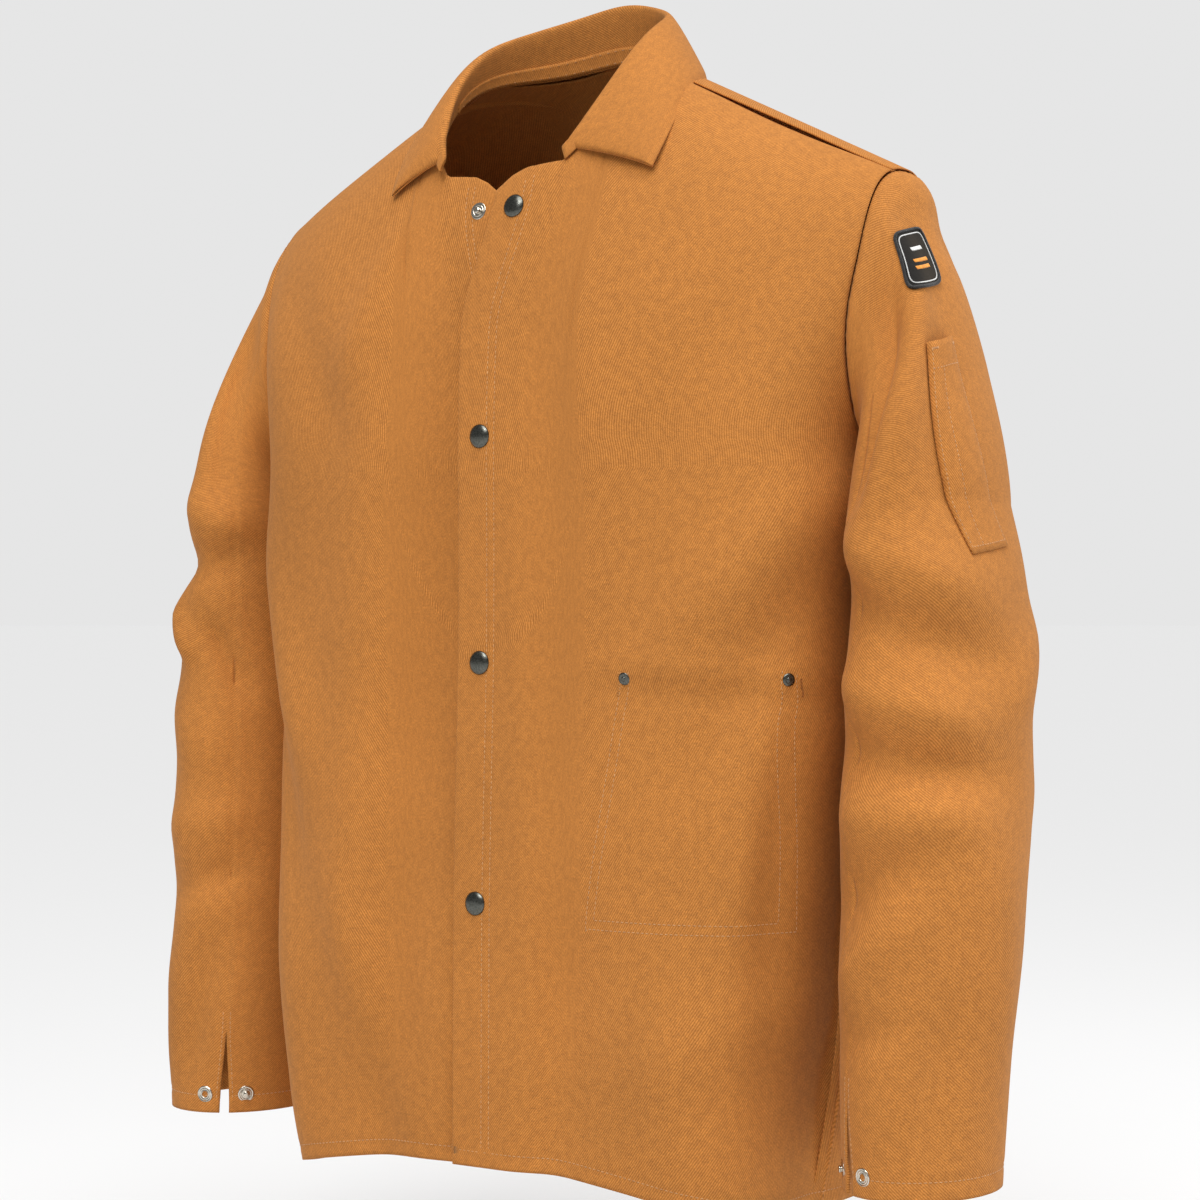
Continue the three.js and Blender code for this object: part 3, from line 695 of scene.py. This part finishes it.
# folds of a sleeve, in millimetres round it from the outer side towards the front, and height
LEFT_SLEEVE_FOLDS = [
    (150, 372, 10, 330, 17, -6), (150, 410, 20, 372, 20, 5), (155, 322, 30, 292, 15, 5), (160, 280, 20, 262, 15, -6.5),
    (150, 236, 30, 236, 20, 5), (160, 176, 60, 216, 14, -4), (150, 130, 70, 175, 16, 4), (160, 95, 80, 110, 13, -3),
    (-60, 360, 10, 300, 22, 4), (-120, 420, -60, 300, 24, -4), (-150, 300, -60, 240, 22, 4), (20, 220, 0, 80, 26, 3.5),
    (-140, 200, -80, 60, 24, 4), (88, 570, 132, 425, 24, -8), (52, 590, 88, 440, 24, 4), (-100, 560, -120, 430, 24, -4),
    (50, 120, 60, 20, 18, -3),
]
RIGHT_SLEEVE_FOLDS = [
    (150, 400, 40, 395, 14, -5), (60, 372, 90, 330, 11, 6), (110, 352, 150, 300, 11, -5), (20, 350, 60, 372, 13, -4),
    (160, 420, 60, 440, 18, 4), (40, 300, 120, 260, 22, 3), (150, 178, 60, 160, 13, -4), (150, 215, 60, 205, 16, 3),
    (120, 130, 90, 20, 22, -5), (60, 120, 50, 10, 22, 3), (-60, 380, 10, 330, 20, -4), (-120, 340, -60, 290, 22, 4),
    (-140, 200, -80, 60, 24, 4), (100, 560, 120, 440, 26, -5), (-100, 560, -120, 430, 24, -4), (0, 240, 20, 60, 24, 3),
]
MM_PER_DEGREE = 1.12  # round a sleeve


def sleeve_cloth(side, ridges, seed):
    columns = np.unique(np.concatenate([
        np.linspace(0, 0.02, 4), np.linspace(0.02, 0.98, 118), np.linspace(0.98, 1, 4)]))
    rows = np.unique(np.concatenate([
        np.linspace(0, 0.05, 6), np.linspace(0.05, 1, 64), np.linspace(1, 1.95, 84), np.linspace(1.95, 2, 11)]))
    u, down = np.meshgrid(columns, rows, indexing="ij")
    slit_top = 1 + (SLEEVE_TOP - CUFF - SLIT_LENGTH) / (SLEEVE_TOP - CUFF)
    gap = SLIT_OPEN * smooth(down, slit_top, 2)
    angle = SLEEVE_SEAM - gap - (1 - u) * (2 * math.pi - 2 * gap)
    points = sleeve_point(angle, down)
    cloth = Cloth(columns, rows, points)
    cloth.cut = cut_of(cloth, down, len(columns) * 2 // 3)
    cloth.cut[..., 0] -= cloth.cut[len(columns) // 2, :, 0][None]
    ring = points[:, 90] - points[:, 90].mean(0)
    cloth.face(np.mean(np.sum(cloth.normals[:, 90] * ring, -1)))

    arc = np.degrees(np.arctan2(np.sin(angle), np.cos(angle))) * MM_PER_DEGREE
    z = points[..., 2]
    outer = np.cos(angle)
    below_head = smooth(down, 0.0, 0.22)
    rise = 1.5 * folds(arc, z, ridges) * below_head + drift(arc, z, seed, 120) * 1.2 * below_head
    rise *= 1 - 0.5 * smooth(z, 60, 10)
    rise -= 8.0 * smooth(z, 430, 520) * (1 - smooth(z, 600, 640)) * smooth(np.cos(angle + 0.2), 0.2, 0.9)
    rise *= 1 - 0.75 * smooth(outer, -0.35, -0.9)  # the side against the body stays quiet
    rise -= 0.5 * np.exp(-((z - z[:, -1:] - CUFF_ROW) / 2.4) ** 2)
    seam = np.exp(-((u / 0.004) ** 2)) + np.exp(-(((1 - u) / 0.004) ** 2))
    rise -= 0.55 * seam * (1 - smooth(down, slit_top - 0.02, slit_top + 0.05))
    rise += 0.35 * np.exp(-(((u - 0.01) / 0.006) ** 2))
    gathers = 0.35 * np.sin(angle * 55) * np.exp(-((down / 0.05) ** 2))
    roll = (1.2 + 1.6 * smooth(outer, 0, 0.8)) * np.exp(-(((down - 0.06) / 0.05) ** 2)) * smooth(down, 0, 0.02)
    cloth.push(rise + gathers + roll)
    # the sleeve's raw edge lies just under the edge of the armhole
    tuck = unit(points[:, :1] - np.array((215.0, -5, 560)))
    cloth.points = cloth.points - tuck * (1.3 * (1 - smooth(down, 0, 0.02)))[..., None]
    cloth.settle()
    if side < 0:
        cloth.mirror()
    return cloth


left_sleeve = sleeve_cloth(1, LEFT_SLEEVE_FOLDS, 31)
right_sleeve = sleeve_cloth(-1, RIGHT_SLEEVE_FOLDS, 37)
SLEEVES = (("left", left_sleeve), ("right", right_sleeve))
for word, cloth in SLEEVES:
    obj = sew(f"{word}_sleeve", cloth, cloth_across, doubled=hem_double(cloth, CUFF_HEM), close=True)
    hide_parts(f"{word}_sleeve_upper", f"{word}_sleeve_elbow", f"{word}_sleeve_lower")
    bend(obj)
    declare(cloth)


# ---- collar: along runs from one front end through the back of the neck to the other
COLLAR_END_ANGLE = math.asin(COLLAR_END_X / NECK_X)
ROLL_AT = 0.43  # how much of the collar's height is stand


def neck_point(along):
    """A place on the neck seam, with its angle round the neck and its side."""
    t = lerp(COLLAR_END_ANGLE, math.pi, 1 - np.abs(2 * along - 1))
    side = np.where(along < 0.5, -1, 1)
    x = NECK_X * np.sin(t)
    front_half = t < math.pi / 2
    slope = np.where(front_half, SEAM_DEG - FRONT_NECK_DEG, BACK_NECK_DEG - SEAM_DEG)
    s = 1 + (SEAM_DEG - slope * np.cos(t)) / 90
    point = np.where(front_half[..., None], front_point(1, x, s), body(turn_at(np.maximum(x, 1e-6), s), s))
    point[..., 0] = np.abs(point[..., 0]) * side
    return point, t, side


def back_share(t):
    return smooth(t, COLLAR_END_ANGLE, math.pi)


def roll_point(along):
    """The top of the stand, where the collar rolls over."""
    point, t, _ = neck_point(along)
    height = lerp(STAND_END_HEIGHT, STAND_HEIGHT, np.sqrt(back_share(t)))
    inward = unit(np.stack([-point[..., 0], -(point[..., 1] + 15), 0 * t], -1))
    return point + inward * (1.5 + height * 0.1)[..., None] + np.stack([0 * t, 0 * t, height + 1.5], -1)


def leaf_edge(along):
    _, t, side = neck_point(along)
    share = back_share(t)
    front_half = t < math.pi / 2
    forward = smooth(share, 0, 0.36)
    point_x = LEAF_POINT_X + LEAF_POINT_SHIFT * side
    front_x = lerp(point_x, NECK_X + LEAF_SIDE, forward) + LEAF_BELLY * np.sin(math.pi * forward)
    x = np.where(front_half, front_x, NECK_X * np.sin(t) + LEAF_SIDE * np.abs(np.sin(t)) ** 9)
    front_deg = lerp(LEAF_POINT_DEG + 1.6 * side, SEAM_DEG, smooth(share, 0, 0.42))
    back_deg = SEAM_DEG - (BACK_NECK_DEG + LEAF_BACK * 0.7 - SEAM_DEG) * np.cos(t)
    s = 1 + np.where(front_half, front_deg, back_deg) / 90
    turn = turn_at(np.maximum(x, 1e-6), s)
    point = body(turn, s) + body_out(turn, s) * (LEAF_CLEAR + 1)
    point[..., 0] *= side
    return point


def collar_plies():
    """The collar's top ply, and the ply under it."""
    columns = np.unique(np.concatenate([
        np.linspace(0, 0.03, 5), np.linspace(0.03, 0.97, 111), np.linspace(0.97, 1, 5)]))
    rows = np.unique(np.concatenate([
        np.linspace(0, 0.36, 14), np.linspace(0.36, 0.5, 10), np.linspace(0.5, 0.96, 22), np.linspace(0.96, 1, 5)]))
    along, way = np.meshgrid(columns, rows, indexing="ij")
    up = np.array((0, 0, 1.0))
    foot = neck_point(along)[0] + up * 0.4
    roll = roll_point(along) + up * 1.6
    edge = leaf_edge(along)
    outward = edge - roll
    outward[..., 2] = 0
    outward = unit(outward)
    height = np.linalg.norm(roll - foot, axis=-1)[..., None]
    rising = np.clip(way / ROLL_AT, 0, 1)[..., None]
    stand = bezier(foot, foot + up * height * 0.4, roll - outward * 3.5, roll, rising)
    drop = np.linalg.norm(edge - roll, axis=-1)[..., None]
    belly = edge + unit(roll - edge) * drop * 0.4 + up * 3.0 + outward * 2.0
    falling = np.clip((way - ROLL_AT) / (1 - ROLL_AT), 0, 1)[..., None]
    leaf = bezier(roll, roll + outward * 7, belly, edge, falling)
    points = np.where(way[..., None] < ROLL_AT, stand, leaf)
    for _ in range(90):  # ease the roll over the middle of the back
        points[6:-6] += 0.25 * (points[5:-7] + points[7:-5] - 2 * points[6:-6])

    top = Cloth(columns, rows, points)
    top.cut = cut_of(top, way, len(columns) // 2)
    top.face(np.mean(top.normals[60, 30:, 2]))
    under = Cloth(columns, rows, points, top.sign)
    under.cut = top.cut
    from_edge = np.minimum(np.minimum(along, 1 - along) * 430, (1 - way) * 70)
    uneven = 0.5 * drift(along * 420, way * 90, 51, 70) * smooth(from_edge, 2, 14)
    top.push(1.3 * smooth(from_edge, 0, 5) + uneven)
    under.push(-1.2 + 0.45 * (1 - smooth(from_edge, 0, 4)))
    return top, under


collar, collar_under = collar_plies()
obj = sew("collar_top", collar, cloth_across, thickness=1.1)
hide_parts("collar_leaf", "collar_stand")
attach(obj, "jacket")
declare(collar)
obj = sew("collar_under", collar_under, cloth_across, thickness=1.0)
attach(obj, "jacket")
declare(collar_under)


# ---- finding places on the finished cloths
FRONT_MIDDLE = LAP - FOLD_R + HALF_FOLD  # the column that runs down the middle of the body


def grid(nu, nv):
    return np.meshgrid(np.linspace(0, 1, nu), np.linspace(0, 1, nv), indexing="ij")


def find(cloth, x, z):
    """u and v where the left front's cloth passes x from the middle at height z."""
    x, z = np.asarray(x, float), np.asarray(z, float)
    across, up = cloth.points[..., 0], cloth.points[..., 2]
    usable = np.broadcast_to(cloth.us[:, None] > 3, across.shape)
    u, v = np.empty(x.shape), np.empty(x.shape)
    for k in np.ndindex(x.shape):
        far = np.where(usable, (across - x[k]) ** 2 + (up - z[k]) ** 2, 1e9)
        i, j = np.unravel_index(np.argmin(far), far.shape)
        i, j = min(max(i, 1), far.shape[0] - 2), min(max(j, 1), far.shape[1] - 2)
        slopes = np.array([[(g[i + 1, j] - g[i - 1, j]) / 2, (g[i, j + 1] - g[i, j - 1]) / 2] for g in (across, up)])
        step = np.clip(np.linalg.solve(slopes, (x[k] - across[i, j], z[k] - up[i, j])), -1.5, 1.5)
        u[k] = np.interp(i + step[0], np.arange(len(cloth.us)), cloth.us)
        v[k] = np.interp(j + step[1], np.arange(len(cloth.vs)), cloth.vs)
    return u, v


def patch(base, u, v, lift):
    """A cloth that lies on another, this far out from it."""
    points, normals = base.at(u, v)
    made = Cloth(np.linspace(0, 1, u.shape[0]), np.linspace(0, 1, u.shape[1]), points + normals * lift[..., None])
    middle = tuple(n // 2 for n in u.shape)
    made.face(np.dot(made.normals[middle], normals[middle]))
    return made


def spot(cloth, u, v):
    """One place on a cloth, and its outward direction."""
    points, normals = cloth.at(np.array([u]), np.array([v]))
    return points[0], normals[0]


def row_above_hem(cloth, columns):
    """How far along each column the hem's row of stitches crosses it."""
    rise = cloth.points[..., 2] - cloth.points[:, :1, 2]
    return np.array([np.interp(HEM_ROW, rise[i], cloth.vs) for i in columns])


def evenly(base, u, v, pitch):
    """Places at an even pitch along a line drawn on a cloth: points, directions and outward normals."""
    line, _ = base.at(u, v)
    run = np.concatenate([[0], np.cumsum(np.linalg.norm(np.diff(line, axis=0), axis=-1))])
    at = np.arange(pitch / 2, run[-1], pitch)
    points, normals = base.at(np.interp(at, run, u), np.interp(at, run, v))
    ahead = [np.interp(at + 0.4, run, line[:, k]) - np.interp(at - 0.4, run, line[:, k]) for k in range(3)]
    return points, unit(np.stack(ahead, -1)), normals


SATIN = math.pi / 2  # stitches that lie across their line
HALF_MM = 0.0005


def stitches(name, base, lines, material, body_name, pitch=3.3, length=2.5, width=0.8, height=0.5, lean=0.0, lift=0.05):
    """Rows of stitches along lines drawn on a cloth. Each stitch is a ball squashed to its length, width and height."""
    bm = bmesh.new()
    for u, v in lines:
        points, ahead, normals = evenly(base, np.asarray(u, float), np.asarray(v, float), pitch)
        points = points + normals * lift
        across = unit(np.cross(normals, ahead))
        ahead = unit(ahead * math.cos(lean) + across * math.sin(lean))
        across = unit(np.cross(normals, ahead))
        for p, a, c, n in zip(row(points), ahead * length, across * width, normals * height):
            rows = [(a[k] * HALF_MM, c[k] * HALF_MM, n[k] * HALF_MM, p[k]) for k in range(3)]
            place = Matrix(rows + [(0, 0, 0, 1)])
            bmesh.ops.create_uvsphere(bm, u_segments=5, v_segments=4, radius=1, matrix=place)
    bmesh.ops.recalc_face_normals(bm, faces=bm.faces)
    obj = mesh_object(name, bm, material)
    if body_name in BLEND_OF:
        bend(obj)
    else:
        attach(obj, body_name)


def turned(name, node, profile, place, deep, way, slot, body_name, steps=48):
    """A turned metal part, from (radius, height) pairs in millimetres.

    It is set this deep behind a place on a cloth, and faces out of it (way 1) or into it (way -1).
    """
    at, out = place
    bm = bmesh.new()
    verts = [bm.verts.new((r * 0.001, 0, h * 0.001)) for r, h in profile]
    edges = [bm.edges.new(pair) for pair in zip(verts, verts[1:])]
    bmesh.ops.spin(
        bm, geom=verts + edges, cent=(0, 0, 0), axis=(0, 0, 1), dvec=(0, 0, 0), angle=2 * math.pi,
        steps=steps, use_merge=True, use_normal_flip=False, use_duplicate=False)
    bmesh.ops.remove_doubles(bm, verts=bm.verts, dist=1e-6)
    bmesh.ops.recalc_face_normals(bm, faces=bm.faces)
    turn = Vector(out * way).to_track_quat("Z", "Y").to_matrix().to_4x4()
    bmesh.ops.transform(bm, matrix=Matrix.Translation(Vector(row(at - out * deep))) @ turn, verts=bm.verts)
    obj = mesh_object(name, bm, METAL[slot])
    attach(obj, body_name)
    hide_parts(node)


def rounded(profile, r, n=3):
    """Softens the corners of a profile that a tool would have rolled."""
    out = [profile[0]]
    for a, b, c in zip(profile, profile[1:], profile[2:]):
        a, b, c = (np.array(q, float) for q in (a, b, c))
        la, lc = np.linalg.norm(a - b), np.linalg.norm(c - b)
        cut = min(r, la * 0.45, lc * 0.45)
        start, stop = b + (a - b) / la * cut, b + (c - b) / lc * cut
        for t in np.linspace(0, 1, n + 1):
            out.append(tuple(start * (1 - t) ** 2 + b * 2 * t * (1 - t) + stop * t * t))
    return out + [profile[-1]]


# ---- front snaps
CAP = [
    (0, 3.0), (2.6, 2.86), (4.8, 2.4), (6.4, 1.7), (7.3, 1.05), (7.8, 0.5), (7.75, 0.1), (7.3, -0.1), (6.2, 0.0),
    (0, 0.0)]
SOCKET = rounded([
    (0, 2.3), (3.5, 2.3), (3.5, 0.2), (4.1, 0), (4.6, 0.35), (5.1, 0.0), (5.7, 0.3), (6.4, 1.2), (6.4, 3.0),
    (0, 3.0)], 0.25)
STUD = rounded([
    (0, 3.0), (1.3, 3.0), (2.15, 2.6), (2.3, 2.1), (1.9, 1.2), (2.1, 0.75), (3.3, 0.6), (3.7, 0.9), (4.2, 0.55),
    (5.0, 0.7), (5.8, 0.5), (6.0, 0.1), (6.0, 0), (0, 0)], 0.2)
EYELET = rounded([(0, 0.45), (1.8, 0.45), (2.6, 0.75), (3.8, 0.8), (4.9, 0.5), (5.4, 0.1), (5.4, 0), (0, 0)], 0.2)
RING = rounded([
    (2.2, 0), (5.8, 0), (5.9, 0.4), (5.3, 0.95), (4.5, 0.6), (3.9, 0.85), (3.2, 0.5), (2.5, 0.8), (2.2, 0.4),
    (2.2, 0)], 0.15)
RIVET = rounded([(0, 1.5), (1.2, 1.5), (1.5, 0.95), (2.3, 0.95), (3.4, 0.9), (4.1, 0.4), (4.2, 0), (0, 0)], 0.25)

for n, height in enumerate(SNAP_HEIGHTS, 1):
    place = spot(left, FRONT_MIDDLE, left.v_at_height(FRONT_MIDDLE, height))
    turned(f"snap_{n}_dome", f"snap_{n}_cap", CAP, place, 0.15, 1, "gunmetal", "left_front")
    turned(f"snap_{n}_press", f"snap_{n}_socket", SOCKET, place, 5.3, 1, "steel", "left_front")
    place = spot(right, FRONT_MIDDLE, right.v_at_height(FRONT_MIDDLE, height))
    turned(f"snap_{n}_post", f"snap_{n}_stud", STUD, place, 0.1, 1, "steel", "right_front")
    turned(f"snap_{n}_back", f"snap_{n}_eyelet", EYELET, place, 2.2, -1, "steel", "right_front")


# ---- inside pocket: sewn along three edges, open at the top
def pocket_place(across, up):
    x = lerp(lerp(*POCKET["inner"], up), lerp(*POCKET["outer"], up), across)
    return x, lerp(POCKET["bottom"], POCKET["top"], up)


across, up = grid(31, 37)
gape = 11 * np.sin(math.pi * across) ** 2 * smooth(up, 0.05, 0.6)
bag = patch(left, *find(left, *pocket_place(across, up)), -(1.9 + gape))
bag.face(-1)
obj = sew("inside_bag", bag, cloth_across, doubled=smooth(up, 0.87, 0.9))
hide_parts("inside_pocket")
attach(obj, "jacket")
declare(bag)
for word, share in (("inner", 0.045), ("outer", 0.955)):
    x, z = pocket_place(share, 0.97)
    u, v = find(left, [x], [z])
    place = spot(left, u[0], v[0])
    turned(f"rivet_{word}_head", f"pocket_rivet_{word}", RIVET, place, 0.1, 1, "gunmetal", "jacket", 36)
    turned(f"rivet_{word}_burr", f"pocket_burr_{word}", RIVET, place, 3.9, -1, "gunmetal", "jacket", 36)


# ---- pen pocket and badge on the left sleeve
def on_sleeve(area, across, up):
    degrees = lerp(area["back"], area["front"], across) + area["twist"] * up
    u = 1 - (120 - degrees) / 360
    z = lerp(area["bottom"], area["top"], up) - area["tilt"] * (across - 0.5)
    v = np.array([left_sleeve.v_at_height(*place) for place in zip(u.ravel(), z.ravel())])
    return u, v.reshape(u.shape)


across, up = grid(25, 33)
bulge = 5.0 * np.abs(np.sin(math.pi * across)) ** 0.4 * smooth(up, 0.0, 0.4)
bulge += 1.0 * np.sin(math.pi * across) * smooth(up, 0.7, 1)
divider = 0.4 * np.exp(-(((across - PEN_DIVIDER) / 0.02) ** 2)) * (up < 0.86)
pen = patch(left_sleeve, *on_sleeve(PEN_POCKET, across, up), 1.15 + bulge - divider)
obj = sew("pen_bag", pen, cloth_up, doubled=smooth(up, 0.86, 0.88) * 0.7)
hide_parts("pen_pocket")
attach(obj, "jacket")
declare(pen)


BADGE_CORNER = 7.0  # how square its corners are; 2 would be a circle


def corner_norm(x, y):
    """Above 1 outside the badge's rounded square."""
    return (np.abs(x) ** BADGE_CORNER + np.abs(y) ** BADGE_CORNER) ** (1 / BADGE_CORNER)


def rim_path(inset):
    rim = np.linspace(0, 2 * math.pi, 240)
    reach = (1 - inset) / corner_norm(np.cos(rim), np.sin(rim))
    return (np.cos(rim) * reach + 1) / 2, (np.sin(rim) * reach + 1) / 2


across, up = grid(29, 29)
square = patch(left_sleeve, *on_sleeve(BADGE, across, up), 1.5 + 0 * across)
x, y = 2 * across - 1, 2 * up - 1
shrink = np.maximum(np.abs(x), np.abs(y)) / np.maximum(corner_norm(x, y), 1e-9)
badge = Cloth(square.us, square.vs, square.at((x * shrink + 1) / 2, (y * shrink + 1) / 2)[0], square.sign)
obj = sew("badge_patch", badge, patch_cloth, thickness=1.3)
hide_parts("badge")
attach(obj, "jacket")
declare(badge)
thread_black = thread("black thread", (0.005, 0.005, 0.005), (0.03, 0.03, 0.03))
stitches("badge_border", square, [rim_path(0.035)], thread_black, "jacket",
         pitch=0.6, length=2.6, width=0.62, height=1.6, lean=SATIN, lift=0.1)
stitches("badge_line", square, [rim_path(0.17)], thread_white, "jacket",
         pitch=0.5, length=1.0, width=0.5, height=0.5, lean=SATIN, lift=0.15)
stitches("badge_bars", square, [((0.26, 0.74), (h, h)) for h in (0.34, 0.46)], thread_orange, "jacket",
         pitch=0.5, length=3.0, width=0.5, height=0.6, lean=SATIN, lift=0.15)
stitches("badge_top_bar", square, [((0.3, 0.7), (0.66, 0.66))], thread_white, "jacket",
         pitch=0.5, length=3.2, width=0.5, height=0.6, lean=SATIN, lift=0.15)

# ---- collar binding
along, way = np.meshgrid(np.linspace(0.13, 0.87, 80), np.linspace(0.01, 0.108, 6), indexing="ij")
binding = patch(collar, along, way, 0.75 + 0 * along)
obj = sew("neck_strip", binding, cloth_up, thickness=0.7)
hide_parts("neck_binding")
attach(obj, "jacket")
declare(binding)
stitches("neck_strip_stitches", binding, [((0.01, 0.99), (h, h)) for h in (0.16, 0.84)], thread_tan, "jacket")


# ---- cuff snaps beside the slit
def cuff_snap(word, cloth):
    """The ring and socket go through one edge of the slit, and the stud and eyelet through the other."""
    forearm = f"{word}_forearm"
    gap = SLIT_OPEN * 0.8
    share = (15 / 52 - gap) / (2 * math.pi - 2 * gap)
    for face, face_profile, rear, rear_profile, deep, way, u in (
        ("ring", RING, "socket", SOCKET, 5.2, 1, 1 - share),
        ("stud", STUD, "eyelet", EYELET, 2.1, -1, share),
    ):
        place = spot(cloth, u, cloth.v_at_height(u, CUFF + 13))
        turned(f"{word}_cuff_{face}_face", f"{word}_cuff_{face}", face_profile, place, 0.1, 1, "steel", forearm, 40)
        turned(f"{word}_cuff_{rear}_face", f"{word}_cuff_{rear}", rear_profile, place, deep, way, "steel", forearm, 40)


for word, cloth in SLEEVES:
    cuff_snap(word, cloth)


# ---- rows of stitching
def front_rows(word, cloth):
    heights = [np.linspace(cloth.v_at_height(c, 12), 0.985, 160) for c in EDGE_ROWS]
    lines = [(np.full_like(v, c), v) for c, v in zip(EDGE_ROWS, heights)]
    stitches(f"{word}_front_rows", cloth, lines, thread_tan, f"{word}_front")
    columns = np.where(cloth.us > 2)[0]
    hem = (cloth.us[columns], row_above_hem(cloth, columns))
    stitches(f"{word}_front_hem_row", cloth, [hem], thread_tan, f"{word}_front")


def pocket_row(inset):
    """A row down one side of the inside pocket, along its bottom and up the other side."""
    up = np.linspace(1.0, inset / (POCKET["top"] - POCKET["bottom"]), 60)
    near_x, near_z = pocket_place(0, up)
    far_x, far_z = pocket_place(1, up[::-1][1:])
    base_x = lerp(near_x[-1] + inset, POCKET["outer"][0] - inset, np.linspace(0, 1, 60)[1:])
    base_z = np.full_like(base_x, POCKET["bottom"] + inset)
    x = np.concatenate([near_x + inset, base_x, far_x - inset])
    return find(left, x, np.concatenate([near_z, base_z, far_z]))


def pen_rows():
    outline_u = [np.full(40, 0.06), np.linspace(0.06, 0.94, 40), np.full(40, 0.94)]
    outline_v = [np.linspace(0.98, 0.03, 40), np.full(40, 0.03), np.linspace(0.03, 0.98, 40)]
    return [
        (np.concatenate(outline_u), np.concatenate(outline_v)),
        ((0.06, 0.94), (0.87, 0.87)),
        (np.full(40, PEN_DIVIDER), np.linspace(0.03, 0.87, 40)),
    ]


def cuff_rows(word, cloth):
    us = np.linspace(0.012, 0.988, 120)
    v = np.array([cloth.v_at_height(u, CUFF + CUFF_ROW) for u in us])
    stitches(f"{word}_cuff_row", cloth, [(us, v)], thread_tan, f"{word}_forearm")
    low, high = (cloth.v_at_height(0.01, CUFF + z) for z in (10, SLIT_LENGTH + 6))
    v = np.linspace(low, high, 30)
    beside_slit = [(np.full(30, u), v) for u in (0.008, 0.992)]
    stitches(f"{word}_slit_rows", cloth, beside_slit, thread_tan, f"{word}_forearm")


for word, cloth in FRONTS:
    front_rows(word, cloth)
stitches("back_hem_row", back, [(back.us, row_above_hem(back, range(len(back.us))))], thread_tan, "jacket")
stitches("pocket_rows", left, [pocket_row(inset) for inset in (2.0, 8.0)], thread_tan, "jacket")
stitches("bag_mouth_row", bag, [((0.02, 0.98), (0.9, 0.9))], thread_tan, "jacket")
stitches("pen_rows", pen, pen_rows(), thread_tan, "jacket", pitch=3.0, length=2.3)
tacks = [((0.06, 0.2), (0.965, 0.965)), ((0.8, 0.94), (0.965, 0.965))]
stitches("pen_tack", pen, tacks, thread_tan, "jacket", pitch=0.7, length=1.8, width=0.7, lean=SATIN)
for word, cloth in SLEEVES:
    cuff_rows(word, cloth)

# ---- studio
VIEW = math.radians(34)
DISTANCE, ASIDE, EYE = 2.0, 0.0083, -0.360
FLOOR_Z = -0.9


def place_in_scene(obj):
    bpy.context.scene.collection.objects.link(obj)


def studio_floor():
    bm = bmesh.new()
    bmesh.ops.create_circle(bm, cap_ends=True, radius=60, segments=64, matrix=Matrix.Translation((0, 0, FLOOR_Z)))
    material, _, _, shader = finish_of("pale studio floor")
    shader.inputs["Base Color"].default_value = (0.84, 0.84, 0.84, 1)
    shader.inputs["Roughness"].default_value = 0.9
    mesh_object("studio_floor", bm, material)


def studio_camera():
    lens = bpy.data.cameras.new("camera")
    lens.lens, lens.sensor_width = 87, 36
    lens.clip_end = 100
    camera = bpy.data.objects.new("camera", lens)
    camera.location = (
        DISTANCE * math.sin(VIEW) + ASIDE * math.cos(VIEW), -DISTANCE * math.cos(VIEW) + ASIDE * math.sin(VIEW), EYE)
    camera.rotation_euler = (math.pi / 2, 0, VIEW)
    place_in_scene(camera)
    bpy.context.scene.camera = camera


def softbox(name, across, towards, up, size, watts):
    """A square light that faces the jacket. Its place is as seen from the camera: right, nearer and up."""
    light = bpy.data.lights.new(name, "AREA")
    light.shape, light.size, light.energy = "SQUARE", size, watts
    obj = bpy.data.objects.new(name, light)
    place, target = Vector((across, -towards, up)), Vector((0, 0, -0.35))
    for v in (place, target):
        v.rotate(Matrix.Rotation(VIEW, 3, "Z"))
    obj.location = place
    obj.rotation_euler = (target - place).to_track_quat("-Z", "Y").to_euler()
    place_in_scene(obj)


def overhead_light():
    light = bpy.data.lights.new("overhead", "SUN")
    light.energy, light.angle = 2.7, math.radians(50)
    obj = bpy.data.objects.new("overhead", light)
    obj.rotation_euler = (math.radians(24), 0, VIEW)
    place_in_scene(obj)


def surround():
    """A dim white world, which the camera sees as a pale wall."""
    world = bpy.data.worlds.new("studio")
    world.use_nodes = True
    nodes, links = world.node_tree.nodes, world.node_tree.links
    nodes["Background"].inputs["Color"].default_value = (1, 1, 1, 1)
    nodes["Background"].inputs["Strength"].default_value = 0.22
    seen = nodes.new("ShaderNodeBackground")
    seen.inputs["Color"].default_value = (0.79, 0.79, 0.79, 1)
    pick, path = nodes.new("ShaderNodeMixShader"), nodes.new("ShaderNodeLightPath")
    links.new(path.outputs["Is Camera Ray"], pick.inputs["Fac"])
    links.new(nodes["Background"].outputs[0], pick.inputs[1])
    links.new(seen.outputs[0], pick.inputs[2])
    links.new(pick.outputs[0], nodes["World Output"].inputs["Surface"])
    bpy.context.scene.world = world


studio_floor()
studio_camera()
softbox("key", -0.7, 1.7, 1.4, 0.7, 15.5)
softbox("rim", 2.2, 0.1, 0.9, 0.8, 20)
overhead_light()
bpy.context.scene.view_settings.view_transform = "Standard"
surround()

bpy.context.view_layer.update()
